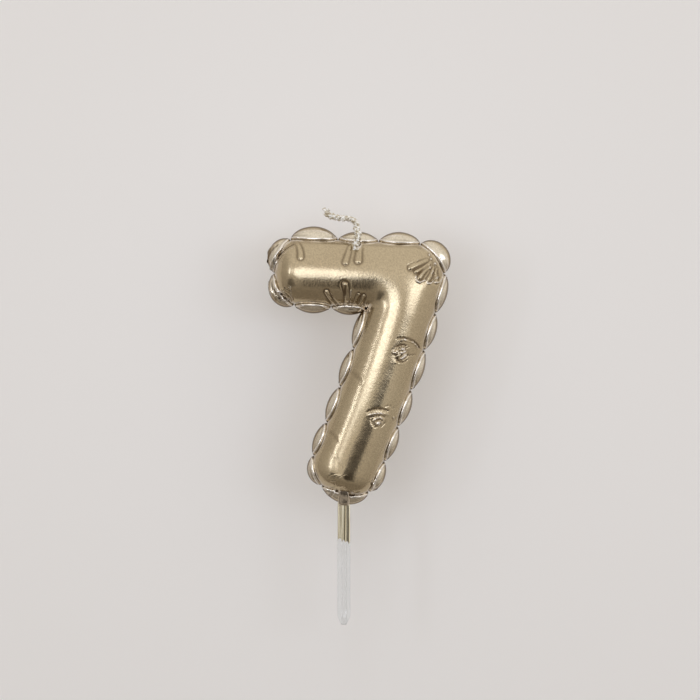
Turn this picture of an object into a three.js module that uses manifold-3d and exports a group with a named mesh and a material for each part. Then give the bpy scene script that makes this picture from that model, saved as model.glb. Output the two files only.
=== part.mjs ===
// Balloon number candle: a figure seven of wax, puffed like a foil balloon with a scalloped seam,
// with a cotton wick in its bar and a clear plastic pick in its foot.
// Millimetres. X is to the right, Y runs away from the viewer, Z is up, and the origin is the pick's tip.
import * as THREE from 'three';
import { mergeVertices } from 'three/addons/utils/BufferGeometryUtils.js';
import Module from 'manifold-3d';

const wasm = await Module();
wasm.setup();

// The puffed tube that draws the figure
const tubeWidth = 17.9; // from seam to seam
const tubeDepth = 13.4; // from front to back
const barLength = 28.4; // joint to the centre of the bar's rounded end
const barTilt = 2.5; // degrees that the bar falls towards the joint
const stemDrop = 50.4; // joint to the centre of the stem's rounded end, measured down
const jointLean = 0.27; // sideways run of the stem for each millimetre down, at the joint
const footLean = 0.411; // the same at the stem's foot, because the stem bows
const endReach = 8; // length of a rounded end
const endSquareness = 2.6; // 2 is an ellipse, and more is squarer

// The lobes of the seam
const lobeDepth = 5; // thickness of a lobe, front to back
const lobeRoot = 2.4; // how far a lobe reaches into the tube

// The pick, a moulded rod with a cross section
const pickWidth = 3.4; // across two opposite ribs
const pickRib = 1.2; // thickness of a rib
const pickShown = 32.2; // length below the wax
const pickHeld = 18; // length inside the wax
const pickPoint = 2.2; // length of the blunt point
const pickFlat = 1.3; // width of the flat face at the tip
const pickOffset = 0.7; // how far the stem's last centre lies to the right of the pick

// The wax collar round the top of the pick
const collarWall = 0.35;
const collarHeight = 4.2;
const footRise = 10.8; // from the collar's lower face to the centre of the stem's rounded end

// The wick
const wickThickness = 1.3;
const wickHeld = 13; // length inside the wax
const wickShown = 18.4; // length outside it
const wickAlong = 14.9; // place of the wick on the bar, measured from the joint
const wickInset = 1.95; // from the seam down to the wick's mouth
const mouthWidth = 3.2; // the dimple in the wax that the wick leaves by

// Fits
const clearance = 0.25; // round a piece that is set in the wax
const bottomGap = 0.3; // between the end of such a piece and the end of its hole

// Lobes clockwise from the inner corner: each has its length along the seam and how far it stands out
const seamRuns = [
  { name: 'bar underside', lobes: [[9.7, 2.1], [10.1, 2.1]] },
  { name: 'bar end', lobes: [[11, 2.4], [11.4, 2.6]] },
  { name: 'bar top', lobes: [[12.1, 3.4], [11.1, 2.5], [11.4, 2.9]] },
  { name: 'outer corner', lobes: [[10.7, 3.4]] },
  { name: 'stem right', lobes: [[11.1, 1.9], [10.5, 1.9], [11.5, 1.9], [10.5, 1.9], [10.2, 1.9]] },
  { name: 'foot', lobes: [[9.3, 2.4], [13.6, 2.4], [8.8, 2.4]] },
  { name: 'stem left', lobes: [[9.7, 1.9], [10.4, 1.9], [11, 1.9], [11.7, 1.9]] },
];

// Pinched folds on the front, near the seam: where on the seam (in lobes from the inner corner), how
// far in each starts, its length and width, and the degrees that it is turned from square to the seam
const folds = [
  { lobe: 0.38, start: 0.8, length: 3.4, width: 1.5, turn: -30 },
  { lobe: 0.59, start: 1, length: 5.6, width: 1.9, turn: 4 },
  { lobe: 0.97, start: 0.8, length: 4.4, width: 1.5, turn: 30 },
  { lobe: 4.16, start: 1.2, length: 4.6, width: 2.2, turn: 7 },
  { lobe: 5.32, start: 1.1, length: 6.1, width: 1.9, turn: -10 },
  { lobe: 5.53, start: 2.4, length: 3.6, width: 1.7, turn: 2 },
  { lobe: 7.51, start: 2.8, length: 5, width: 1.9, turn: -21 },
  { lobe: 7.67, start: 4.2, length: 3.7, width: 1.4, turn: 24 },
  { lobe: 7.83, start: 3.2, length: 3.4, width: 1.4, turn: 62 },
];
const foldRise = 0.55; // how far a fold stands out of the tube

// Knots of wax on the front of the stem: distance down the stem and to the right of its centre line
const knots = [
  { down: 19.4, right: 3.7, width: 4.2 },
  { down: 37, right: 4.6, width: 3.8 },
];
const knotRise = 0.9;

// The wick's direction into the wax, and its hand-drawn course outside it, as steps from its mouth
const wickInward = new THREE.Vector3(-0.12, 0.28, -0.95).normalize();
const wickSteps = [
  [0, -0.5, 0.6], [0.2, -0.9, 1.9], [0.5, -0.5, 3.5], [0.1, 0.2, 4.5], [0.2, 1.3, 5.9],
  [-0.9, 2.1, 7.4], [-1.9, 2.6, 7.8], [-3.7, 3.1, 8], [-5.6, 3.4, 8.3], [-7.7, 3.6, 9.1], [-8.3, 3.7, 11.2],
];

// How finely the surfaces are cut
const ringSteps = 8; // from the seam to the middle of the tube
const endSteps = 7; // round half of an end
const barSteps = 8;
const bendSteps = 18;
const stemSteps = 16;
const lobeSteps = 9;
const lobeSides = 10;
const cordSides = 8;
const foldSides = 10;
const knotSides = 12;
const holeSides = 16;
const collarCorner = 4; // steps round a corner of the collar
const seamSmoothing = 0.9; // how far each way the seam's direction is read over
const halvings = 60; // tries to find the inner corner
const overrun = 1; // how far a cutting tool runs past the face that it opens

const tubeRadius = tubeWidth / 2;
const tubeHeight = tubeDepth / 2;
const tilt = THREE.MathUtils.degToRad(barTilt);
const barOut = new THREE.Vector2(-Math.cos(tilt), Math.sin(tilt));
const barUp = new THREE.Vector2(Math.sin(tilt), Math.cos(tilt));
const footCentre = new THREE.Vector2(pickOffset, pickShown + footRise);

// The stem's lean at a distance down from the joint, and its sideways run as far as there.
function stemLean(down) {
  return THREE.MathUtils.lerp(jointLean, footLean, down / stemDrop);
}

function stemRun(down) {
  return ((jointLean + stemLean(down)) / 2) * down;
}

const joint = footCentre.clone().add(new THREE.Vector2(stemRun(stemDrop), stemDrop));

// A point of the figure's flat drawing, a distance along one direction and then along a second one.
function along(start, first, distance, second = first, offset = 0) {
  return start.clone().addScaledVector(first, distance).addScaledVector(second, offset);
}

function barCentre(distance) {
  return along(joint, barOut, distance);
}

function stemCentre(down) {
  return new THREE.Vector2(joint.x - stemRun(down), joint.y - down);
}

// Square to the stem's centre line, to the right.
function stemRight(down) {
  return new THREE.Vector2(1, -stemLean(down)).normalize();
}

function stemDown(down) {
  const right = stemRight(down);
  return new THREE.Vector2(right.y, -right.x);
}

// The inner corner, where the bar's lower edge meets the stem's left edge, and how far down it is.
function innerCorner() {
  let high = 0;
  let low = stemDrop;
  const heightOverBar = (down) => {
    const edge = along(stemCentre(down), stemRight(down), -tubeRadius);
    return edge.sub(joint).dot(barUp) + tubeRadius;
  };
  for (let i = 0; i < halvings; i += 1) {
    const middle = (high + low) / 2;
    if (heightOverBar(middle) > 0) high = middle;
    else low = middle;
  }
  const point = along(stemCentre(low), stemRight(low), -tubeRadius);
  return { point, down: low, along: point.clone().sub(joint).dot(barOut) };
}

const inner = innerCorner();
const origin = new THREE.Vector2();
const bendTurn = barUp.angle() - stemRight(0).angle() + 2 * Math.PI;

// Points of a rounded end from its middle (0) to its side (1), as shares of its reach and half width.
function endPoint(share) {
  const angle = (share * Math.PI) / 2;
  const power = 2 / endSquareness;
  return { out: endReach * Math.cos(angle) ** power, side: tubeRadius * Math.sin(angle) ** power };
}

function shares(steps) {
  return Array.from({ length: steps + 1 }, (_, i) => i / steps);
}

// The outer edge through the bend, read by the share travelled: along the bar's top, round the joint
// and down the stem's right side, as far as the ribs that meet the inner corner.
function bendEdge(share) {
  const arc = tubeRadius * bendTurn;
  const travel = share * (inner.along + arc + inner.down);
  if (travel <= inner.along) {
    return along(joint, barOut, inner.along - travel, barUp, tubeRadius);
  }
  if (travel >= inner.along + arc) {
    const down = travel - inner.along - arc;
    return along(stemCentre(down), stemRight(down), tubeRadius);
  }
  return along(joint, barUp.clone().rotateAround(origin, (inner.along - travel) / tubeRadius), tubeRadius);
}

// Ribs across the tube, from the bar's end round the joint to the stem's end. Each has an outer edge
// point, a point on the centre line and an inner edge point. Through the bend they turn on the corner.
function tubeRibs() {
  const made = [];
  const endRib = (centre, out, side, share) => {
    const { out: reach, side: width } = endPoint(share);
    const outer = along(centre, out, reach, side, width);
    made.push({ outer, centre, inner: along(centre, out, reach, side, -width) });
  };
  const barEnd = barCentre(barLength);
  shares(endSteps).forEach((share) => endRib(barEnd, barOut, barUp, share));
  shares(barSteps).slice(1, -1).forEach((share) => {
    const centre = barCentre(THREE.MathUtils.lerp(barLength, inner.along, share));
    made.push({ outer: along(centre, barUp, tubeRadius), centre,
      inner: along(centre, barUp, -tubeRadius) });
  });
  const bend = new THREE.QuadraticBezierCurve(barCentre(inner.along), joint, stemCentre(inner.down));
  shares(bendSteps).forEach((share) => {
    made.push({ outer: bendEdge(share), centre: bend.getPoint(share), inner: inner.point });
  });
  shares(stemSteps).slice(1).forEach((share) => {
    const down = THREE.MathUtils.lerp(inner.down, stemDrop, share);
    const centre = stemCentre(down);
    const right = stemRight(down);
    made.push({ outer: along(centre, right, tubeRadius), centre,
      inner: along(centre, right, -tubeRadius) });
  });
  shares(endSteps).slice(0, -1).reverse().forEach((share) => {
    endRib(stemCentre(stemDrop), stemDown(stemDrop), stemRight(stemDrop), share);
  });
  return made;
}

const ribs = tubeRibs();

// Makes one closed solid from triangles, after merging equal corners and dropping empty triangles.
function solidFrom(positions, triangles) {
  const raw = new THREE.BufferGeometry();
  raw.setAttribute('position', new THREE.Float32BufferAttribute(positions, 3));
  raw.setIndex(triangles);
  return solidOf(raw);
}

function solidOf(geometry) {
  geometry.deleteAttribute('normal');
  geometry.deleteAttribute('uv');
  const merged = mergeVertices(geometry, 1e-4);
  const corners = merged.index.array;
  const kept = [];
  for (let i = 0; i < corners.length; i += 3) {
    const [a, b, c] = [corners[i], corners[i + 1], corners[i + 2]];
    if (a !== b && b !== c && c !== a) kept.push(a, b, c);
  }
  const vertProperties = new Float32Array(merged.attributes.position.array);
  const mesh = new wasm.Mesh({ numProp: 3, vertProperties, triVerts: new Uint32Array(kept) });
  return new wasm.Manifold(mesh);
}

function geometryOf(solid) {
  const { vertProperties, triVerts, numProp } = solid.getMesh();
  const geometry = new THREE.BufferGeometry();
  const positions = new Float32Array((vertProperties.length / numProp) * 3);
  for (let i = 0; i < positions.length / 3; i += 1) {
    positions.set(vertProperties.subarray(i * numProp, i * numProp + 3), i * 3);
  }
  geometry.setAttribute('position', new THREE.BufferAttribute(positions, 3));
  geometry.setIndex(new THREE.BufferAttribute(new Uint32Array(triVerts), 1));
  geometry.computeVertexNormals();
  return geometry;
}

// Joins rings of points, each ring closed, into a skin. The first and last ring are flat or a point.
function skin(rings) {
  const count = rings[0].length;
  const positions = rings.flat().flatMap((point) => point.toArray());
  const triangles = [];
  for (let i = 0; i < rings.length - 1; i += 1) {
    for (let j = 0; j < count; j += 1) {
      const next = (j + 1) % count;
      const [a, b] = [i * count + j, i * count + next];
      const [c, d] = [a + count, b + count];
      triangles.push(a, b, d, a, d, c);
    }
  }
  return solidFrom(positions, triangles);
}

// The tube's height over the seam plane follows a quarter ellipse from each edge to the centre line.
function puffedTube() {
  const quarter = (edge, centre, share, face) => {
    const angle = (share * Math.PI) / 2;
    const flat = centre.clone().lerp(edge, share >= 1 ? 0 : Math.cos(angle));
    return new THREE.Vector3(flat.x, share <= 0 ? 0 : face * tubeHeight * Math.sin(angle), flat.y);
  };
  const rings = ribs.map((rib) => {
    const up = shares(ringSteps);
    const down = [...up].reverse().slice(1);
    const front = [...up.map((share) => quarter(rib.outer, rib.centre, share, -1)),
      ...down.map((share) => quarter(rib.inner, rib.centre, share, -1))];
    const back = [...up.map((share) => quarter(rib.inner, rib.centre, share, 1)),
      ...down.map((share) => quarter(rib.outer, rib.centre, share, 1))];
    return [...front, ...back.slice(1, -1)];
  });
  return skin(rings);
}

// The seam, as a closed loop clockwise from the inner corner, read by the distance travelled on it.
function seamLoop() {
  const start = ribs.findIndex((rib) => rib.inner === inner.point);
  const underside = ribs.slice(0, start).reverse().map((rib) => rib.inner);
  const outerSide = ribs.slice(1).map((rib) => rib.outer);
  const end = ribs.length - 1 - [...ribs].reverse().findIndex((rib) => rib.inner === inner.point);
  const stemLeft = ribs.slice(end + 1, -1).reverse().map((rib) => rib.inner);
  const points = [inner.point, ...underside, ...outerSide, ...stemLeft, inner.point];
  const travelled = [0];
  points.slice(1).forEach((point, i) => travelled.push(travelled[i] + point.distanceTo(points[i])));
  return { points, travelled, length: travelled.at(-1) };
}

const seam = seamLoop();

function seamPoint(distance) {
  const place = THREE.MathUtils.euclideanModulo(distance, seam.length);
  const next = Math.max(1, seam.travelled.findIndex((value) => value >= place));
  const share = (place - seam.travelled[next - 1]) / (seam.travelled[next] - seam.travelled[next - 1]);
  return seam.points[next - 1].clone().lerp(seam.points[next], share);
}

// The direction out of the figure at a place on the seam, smoothed over a short stretch.
function seamOut(distance, from, to) {
  const ahead = seamPoint(Math.min(distance + seamSmoothing, to));
  const behind = seamPoint(Math.max(distance - seamSmoothing, from));
  const run = ahead.sub(behind).normalize();
  return new THREE.Vector2(-run.y, run.x);
}

// Where each lobe starts and ends. The lengths share the seam out, so they always close the loop.
function lobeSpans() {
  const wanted = seamRuns.flatMap(({ lobes }) => lobes);
  const total = wanted.reduce((sum, [length]) => sum + length, 0);
  let from = 0;
  return wanted.map(([length, reach]) => {
    const to = from + (length * seam.length) / total;
    const span = { from, to, reach };
    from = to;
    return span;
  });
}

const spans = lobeSpans();

// One lobe: oval sections across the seam, which swell from one notch and pinch off at the next.
function seamLobe({ from, to, reach }) {
  const rings = shares(lobeSteps).map((share) => {
    const swell = share <= 0 || share >= 1 ? 0 : Math.sin(share * Math.PI) ** 0.8;
    const place = THREE.MathUtils.lerp(from, to, (1 - Math.cos(share * Math.PI)) / 2);
    const edge = seamPoint(place);
    const out = seamOut(place, from, to);
    const tip = reach * swell;
    return Array.from({ length: lobeSides }, (_, i) => {
      const angle = (2 * Math.PI * i) / lobeSides;
      const offset = (tip - lobeRoot) / 2 + ((tip + lobeRoot) / 2) * Math.cos(angle);
      const point = along(edge, out, offset);
      const height = i % (lobeSides / 2) === 0 ? 0 : (lobeDepth / 2) * swell * Math.sin(angle);
      return new THREE.Vector3(point.x, -height, point.y);
    });
  });
  return skin(rings);
}

// A cross section of four ribs, grown by a margin on every side.
function crossShape(width, rib, margin) {
  const far = width / 2 + margin;
  const near = rib / 2 + margin;
  const quarter = [[near, far], [near, near], [far, near]];
  const points = [0, 1, 2, 3].flatMap((turn) => (
    quarter.map(([x, y]) => new THREE.Vector2(x, y).rotateAround(origin, (-turn * Math.PI) / 2))));
  return new THREE.Shape(points);
}

function upright(shape, bottom, top) {
  const geometry = new THREE.ExtrudeGeometry(shape, { depth: top - bottom, bevelEnabled: false });
  geometry.translate(0, 0, bottom);
  return solidOf(geometry);
}

// The pick's point: a square cone that the cross-shaped rod is trimmed to.
function pointTrim() {
  const tip = pickFlat / Math.SQRT2;
  const widest = pickWidth / Math.SQRT2 + clearance;
  const slope = (pickWidth - pickFlat) / Math.SQRT2 / pickPoint;
  const top = pickShown + pickHeld + overrun;
  const profile = [
    new THREE.Vector2(0, 0),
    new THREE.Vector2(tip, 0),
    new THREE.Vector2(widest, (widest - tip) / slope),
    new THREE.Vector2(widest, top),
    new THREE.Vector2(0, top),
  ];
  const geometry = new THREE.LatheGeometry(profile, 4);
  geometry.rotateX(Math.PI / 2);
  geometry.rotateZ(Math.PI / 4);
  return solidOf(geometry);
}

function cakePick() {
  const rod = upright(crossShape(pickWidth, pickRib, 0), 0, pickShown + pickHeld);
  return rod.intersect(pointTrim());
}

function pickSocket() {
  const top = pickShown + pickHeld + bottomGap;
  return upright(crossShape(pickWidth, pickRib, clearance), pickShown - overrun, top);
}

function pickCollar() {
  const half = pickWidth / 2 + clearance + collarWall;
  const round = collarWall * 2;
  const shape = new THREE.Shape();
  shape.absarc(half - round, half - round, round, 0, Math.PI / 2);
  shape.absarc(round - half, half - round, round, Math.PI / 2, Math.PI);
  shape.absarc(round - half, round - half, round, Math.PI, 1.5 * Math.PI);
  shape.absarc(half - round, round - half, round, 1.5 * Math.PI, 2 * Math.PI);
  const geometry = new THREE.ExtrudeGeometry(shape,
    { depth: collarHeight, bevelEnabled: false, curveSegments: collarCorner });
  geometry.translate(0, 0, pickShown);
  return solidOf(geometry);
}

// The front of the tube over a point of the flat drawing, found between the two ribs beside it.
function onFront(flat) {
  const sideOf = (rib, edge) => rib[edge].clone().sub(rib.centre).cross(flat.clone().sub(rib.centre));
  const places = ['outer', 'inner'].flatMap((edge) => ribs.slice(1).map((rib, i) => {
    const [before, after] = [sideOf(ribs[i], edge), sideOf(rib, edge)];
    if (before * after > 0 || before === after) return 1;
    const share = before / (before - after);
    const centre = ribs[i].centre.clone().lerp(rib.centre, share);
    const reach = ribs[i][edge].clone().lerp(rib[edge], share).sub(centre);
    return flat.clone().sub(centre).dot(reach) < 0 ? 1 : flat.distanceTo(centre) / reach.length();
  }));
  const out = Math.min(1, ...places);
  return new THREE.Vector3(flat.x, -tubeHeight * Math.sqrt(1 - out ** 2), flat.y);
}

const mouth = onFront(along(barCentre(wickAlong), barUp, tubeRadius - wickInset));

// The wick's route from its lower end to its hooked tip. What shows is drawn as steps away from its
// mouth and then brought to its length.
function wickRoute() {
  const held = [1, 0.75, 0.5, 0.25].map((share) => (
    mouth.clone().addScaledVector(wickInward, share * wickHeld)));
  const shown = [[0, 0, 0], ...wickSteps].map((step) => new THREE.Vector3(...step));
  const size = wickShown / new THREE.CatmullRomCurve3(shown).getLength();
  return [...held, ...shown.slice(1).map((step) => step.multiplyScalar(size).add(mouth))];
}

function roundSection(radius) {
  const points = Array.from({ length: cordSides }, (_, i) => {
    const angle = (2 * Math.PI * i) / cordSides;
    return new THREE.Vector2(radius * Math.cos(angle), radius * Math.sin(angle));
  });
  return new THREE.Shape(points);
}

function wickCord() {
  const path = new THREE.CatmullRomCurve3(wickRoute());
  const steps = Math.round(path.getLength() / wickThickness);
  const geometry = new THREE.ExtrudeGeometry(roundSection(wickThickness / 2), { steps, extrudePath: path });
  return solidOf(geometry);
}

// A round hole for the wick and the dimple where it leaves the wax.
function wickHole() {
  const length = wickHeld + bottomGap;
  const radius = wickThickness / 2 + clearance;
  const hole = new THREE.CylinderGeometry(radius, radius, length + mouthWidth, holeSides);
  hole.applyQuaternion(new THREE.Quaternion().setFromUnitVectors(new THREE.Vector3(0, -1, 0), wickInward));
  const middle = mouth.clone().addScaledVector(wickInward, (length - mouthWidth) / 2);
  hole.translate(...middle.toArray());
  const dimple = new THREE.SphereGeometry(mouthWidth / 2, holeSides, holeSides / 2 + 2);
  dimple.translate(mouth.x, mouth.y - clearance, mouth.z + clearance);
  return solidOf(hole).add(solidOf(dimple));
}

// A pinched fold: a long low swelling on the front of the tube, square to the seam but for its turn.
function pinchedFold({ lobe, start, length, width, turn }) {
  const index = Math.floor(lobe);
  const span = spans[index];
  const place = THREE.MathUtils.lerp(span.from, span.to, lobe - index);
  const inward = seamOut(place, span.from, span.to).negate();
  const base = seamPoint(place).addScaledVector(inward, start);
  const run = inward.clone().rotateAround(origin, THREE.MathUtils.degToRad(turn));
  const near = onFront(base);
  const far = onFront(along(base, run, length));
  const middle = onFront(along(base, run, length / 2));
  const axis = far.clone().sub(near);
  const body = new THREE.SphereGeometry(1, foldSides, foldSides / 2 + 1);
  body.scale(width / 2, foldRise, axis.length() / 2);
  const front = new THREE.Vector3(0, -1, 0);
  const ahead = axis.clone().normalize();
  const side = new THREE.Vector3().crossVectors(front, ahead).normalize();
  const outward = new THREE.Vector3().crossVectors(ahead, side);
  body.applyMatrix4(new THREE.Matrix4().makeBasis(side, outward, ahead));
  body.translate(...middle.toArray());
  return solidOf(body);
}

// A knot of wax on the front of the stem.
function stemKnot({ down, right, width }) {
  const place = onFront(along(stemCentre(down), stemRight(down), right));
  const bead = new THREE.SphereGeometry(1, knotSides, knotSides / 2 + 2);
  bead.scale(width / 2, knotRise, width / 2);
  bead.translate(...place.toArray());
  return solidOf(bead);
}

function waxBody() {
  const added = [...spans.map(seamLobe), ...folds.map(pinchedFold), ...knots.map(stemKnot), pickCollar()];
  const whole = added.reduce((sum, solid) => sum.add(solid), puffedTube());
  return whole.subtract(pickSocket()).subtract(wickHole());
}

function piece(name, solid, colour, roughness, metalness) {
  const material = new THREE.MeshStandardMaterial({ color: colour, roughness, metalness });
  const mesh = new THREE.Mesh(geometryOf(solid), material);
  mesh.name = name;
  return mesh;
}

const candle = new THREE.Group();
candle.add(piece('wax_body', waxBody(), 0xc8b184, 0.28, 1));
candle.add(piece('wick', wickCord(), 0xcdc3ad, 0.45, 0.8));
candle.add(piece('cake_pick', cakePick(), 0xe8eef2, 0.08, 0));

export default candle;
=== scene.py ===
"""Looks of a balloon number candle: a wax figure seven, puffed like foil, with its wick and its pick.

The figure is one closed surface on a grid. Ribs run across the puffed tube from a centre line to the
seam, the seam carries a row of puffed lobes, and the marks of pinched foil are raised and sunk on the
front. Shapes are worked out in millimetres, x to the right, y away from the viewer and z up.
"""

import logging
import math
from dataclasses import dataclass, field
from enum import Enum

import bpy
import numpy as np
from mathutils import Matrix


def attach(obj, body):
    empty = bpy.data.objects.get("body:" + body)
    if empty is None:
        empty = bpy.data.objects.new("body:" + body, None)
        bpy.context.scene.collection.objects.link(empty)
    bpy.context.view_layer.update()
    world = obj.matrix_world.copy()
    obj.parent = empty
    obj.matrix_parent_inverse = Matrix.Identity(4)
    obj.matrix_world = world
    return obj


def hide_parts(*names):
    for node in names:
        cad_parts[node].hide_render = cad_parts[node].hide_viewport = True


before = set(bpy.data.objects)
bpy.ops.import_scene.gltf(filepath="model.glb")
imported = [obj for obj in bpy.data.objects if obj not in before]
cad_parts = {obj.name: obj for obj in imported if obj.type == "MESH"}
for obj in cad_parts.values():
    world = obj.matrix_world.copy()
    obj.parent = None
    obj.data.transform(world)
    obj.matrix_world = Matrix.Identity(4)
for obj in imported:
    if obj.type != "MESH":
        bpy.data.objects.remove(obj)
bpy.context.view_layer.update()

Array = np.ndarray
MM = 0.001
SQUARE = np.array([(-0.5, -0.5), (0.5, -0.5), (0.5, 0.5), (-0.5, 0.5)])
log = logging.getLogger("candle")


class Slot(Enum):
    """The record's material slots."""

    WAX = "gold_wax"
    WICK = "wick"
    PICK = "clear_plastic"


def unit(vectors: Array) -> Array:
    """Each vector divided by its length, and a vector without length left at zero.

    Args:
        vectors: Vectors along the last axis.

    Returns:
        The vectors at length 1.
    """
    lengths = np.linalg.norm(vectors, axis=-1, keepdims=True)
    return vectors / np.where(lengths > 1e-12, lengths, 1.0)


def running_total(steps: Array) -> Array:
    """The sum of some steps so far, from 0 on."""
    return np.concatenate([[0], np.cumsum(steps)])


def bell(distance: Array, middle: float, width: float) -> Array:
    """A bell curve, 1 at its middle: e to the minus square of the distance from there over the width."""
    return np.exp(-(((distance - middle) / width) ** 2))


def ramp(value: Array, low: float, high: float) -> Array:
    """Rises evenly from 0 at the low value to 1 at the high one, and is held there."""
    return np.clip((value - low) / (high - low), 0, 1)


def ring_triangles(rings: int, around: int) -> Array:
    """Triangles between neighbouring rings of points, each ring closed on itself.

    Args:
        rings: How many rings there are.
        around: How many points a ring has.

    Returns:
        Rows of three point numbers.
    """
    start = np.arange(rings - 1)[:, None] * around
    here = np.arange(around)[None, :]
    a, b = start + here, start + (here + 1) % around
    c, d = a + around, b + around
    return np.stack([np.stack([a, b, d], -1), np.stack([a, d, c], -1)], 2).reshape(-1, 3)


def weld(points: Array, triangles: Array, near: float = 1e-4) -> tuple[Array, Array, Array]:
    """Merges points that lie in one place, and drops the triangles that this empties.

    Args:
        points: Rows of x, y, z.
        triangles: Rows of three point numbers.
        near: How close merged points are, in millimetres.

    Returns:
        The points kept, the triangles between them, and which of the old points each kept one is.
    """
    keys = np.round(points / near).astype(np.int64)
    _, first, places = np.unique(keys, axis=0, return_index=True, return_inverse=True)
    corners = places.reshape(-1)[triangles]
    a, b, c = corners.T
    return points[first], corners[(a != b) & (b != c) & (c != a)], first


def facing_out(points: Array, triangles: Array) -> Array:
    """Turns the triangles of a closed shell round if they enclose a negative volume.

    Args:
        points: Rows of x, y, z.
        triangles: Rows of three point numbers.

    Returns:
        The triangles, facing outwards.
    """
    a, b, c = points[triangles].transpose(1, 0, 2)
    volume = np.einsum("ij,ij->i", a, np.cross(b, c)).sum()
    return triangles if volume > 0 else triangles[:, ::-1]


def snapped(places: Array, marks: Array, within: float) -> Array:
    """Moves the nearest place onto each mark that has one close by.

    Args:
        places: Distances.
        marks: The distances that should be met exactly.
        within: How far a place may be moved.

    Returns:
        The places, some of them moved.
    """
    nearest = np.abs(places[:, None] - marks).argmin(0)
    close = np.abs(places[nearest] - marks) < within
    moved = places.copy()
    moved[nearest[close]] = marks[close]
    return moved


def add_piece(name: str, slot: Slot, points: Array, triangles: Array,
              materials: list[bpy.types.Material]) -> bpy.types.Object:
    """Puts a closed shell into the scene as a smooth piece that rides on the part's only body.

    Args:
        name: The piece's name.
        slot: The record's slot that its finish stands for. Not used.
        points: Rows of x, y, z in millimetres.
        triangles: Rows of three point numbers, facing outwards.
        materials: The finishes of its faces, in the order of their numbers.

    Returns:
        The new object.
    """
    mesh = bpy.data.meshes.new(name)
    mesh.from_pydata((points * MM).tolist(), [], triangles.tolist(), shade_flat=False)
    piece = bpy.data.objects.new(name, mesh)
    bpy.context.scene.collection.objects.link(piece)
    for material in materials:
        mesh.materials.append(material)
    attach(piece, "root")
    return piece


def add_attribute(piece: bpy.types.Object, name: str, values: Array) -> None:
    """Stores one number for each point of a piece, for its material to read.

    Args:
        piece: The piece.
        name: The attribute's name.
        values: One number for each point.
    """
    attribute = piece.data.attributes.new(name, "FLOAT", "POINT")
    attribute.data.foreach_set("value", np.asarray(values, np.float32))


@dataclass(frozen=True)
class Loop:
    """A closed line in the figure's plane, read by the distance travelled on it.

    Attributes:
        points: Rows of x, z, the last one equal to the first.
        travelled: The distance at each point.
    """

    points: Array
    travelled: Array

    @property
    def length(self) -> float:
        """The distance once round."""
        return float(self.travelled[-1])

    def at(self, distance: Array) -> Array:
        """Points at the given distances."""
        return np.stack([np.interp(distance, self.travelled, column) for column in self.points.T], -1)


@dataclass(frozen=True)
class Ribs:
    """Ribs across the tube, from the bar's end round the joint to the stem's end. Rows of x, z.

    Attributes:
        outer: Where each rib meets the seam on the side of the outer corner.
        centre: Its foot on the centre line.
        inner: Where it meets the seam on the side of the inner corner.
        on_corner: Whether it turns on the inner corner.
    """

    outer: Array
    centre: Array
    inner: Array
    on_corner: Array


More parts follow.
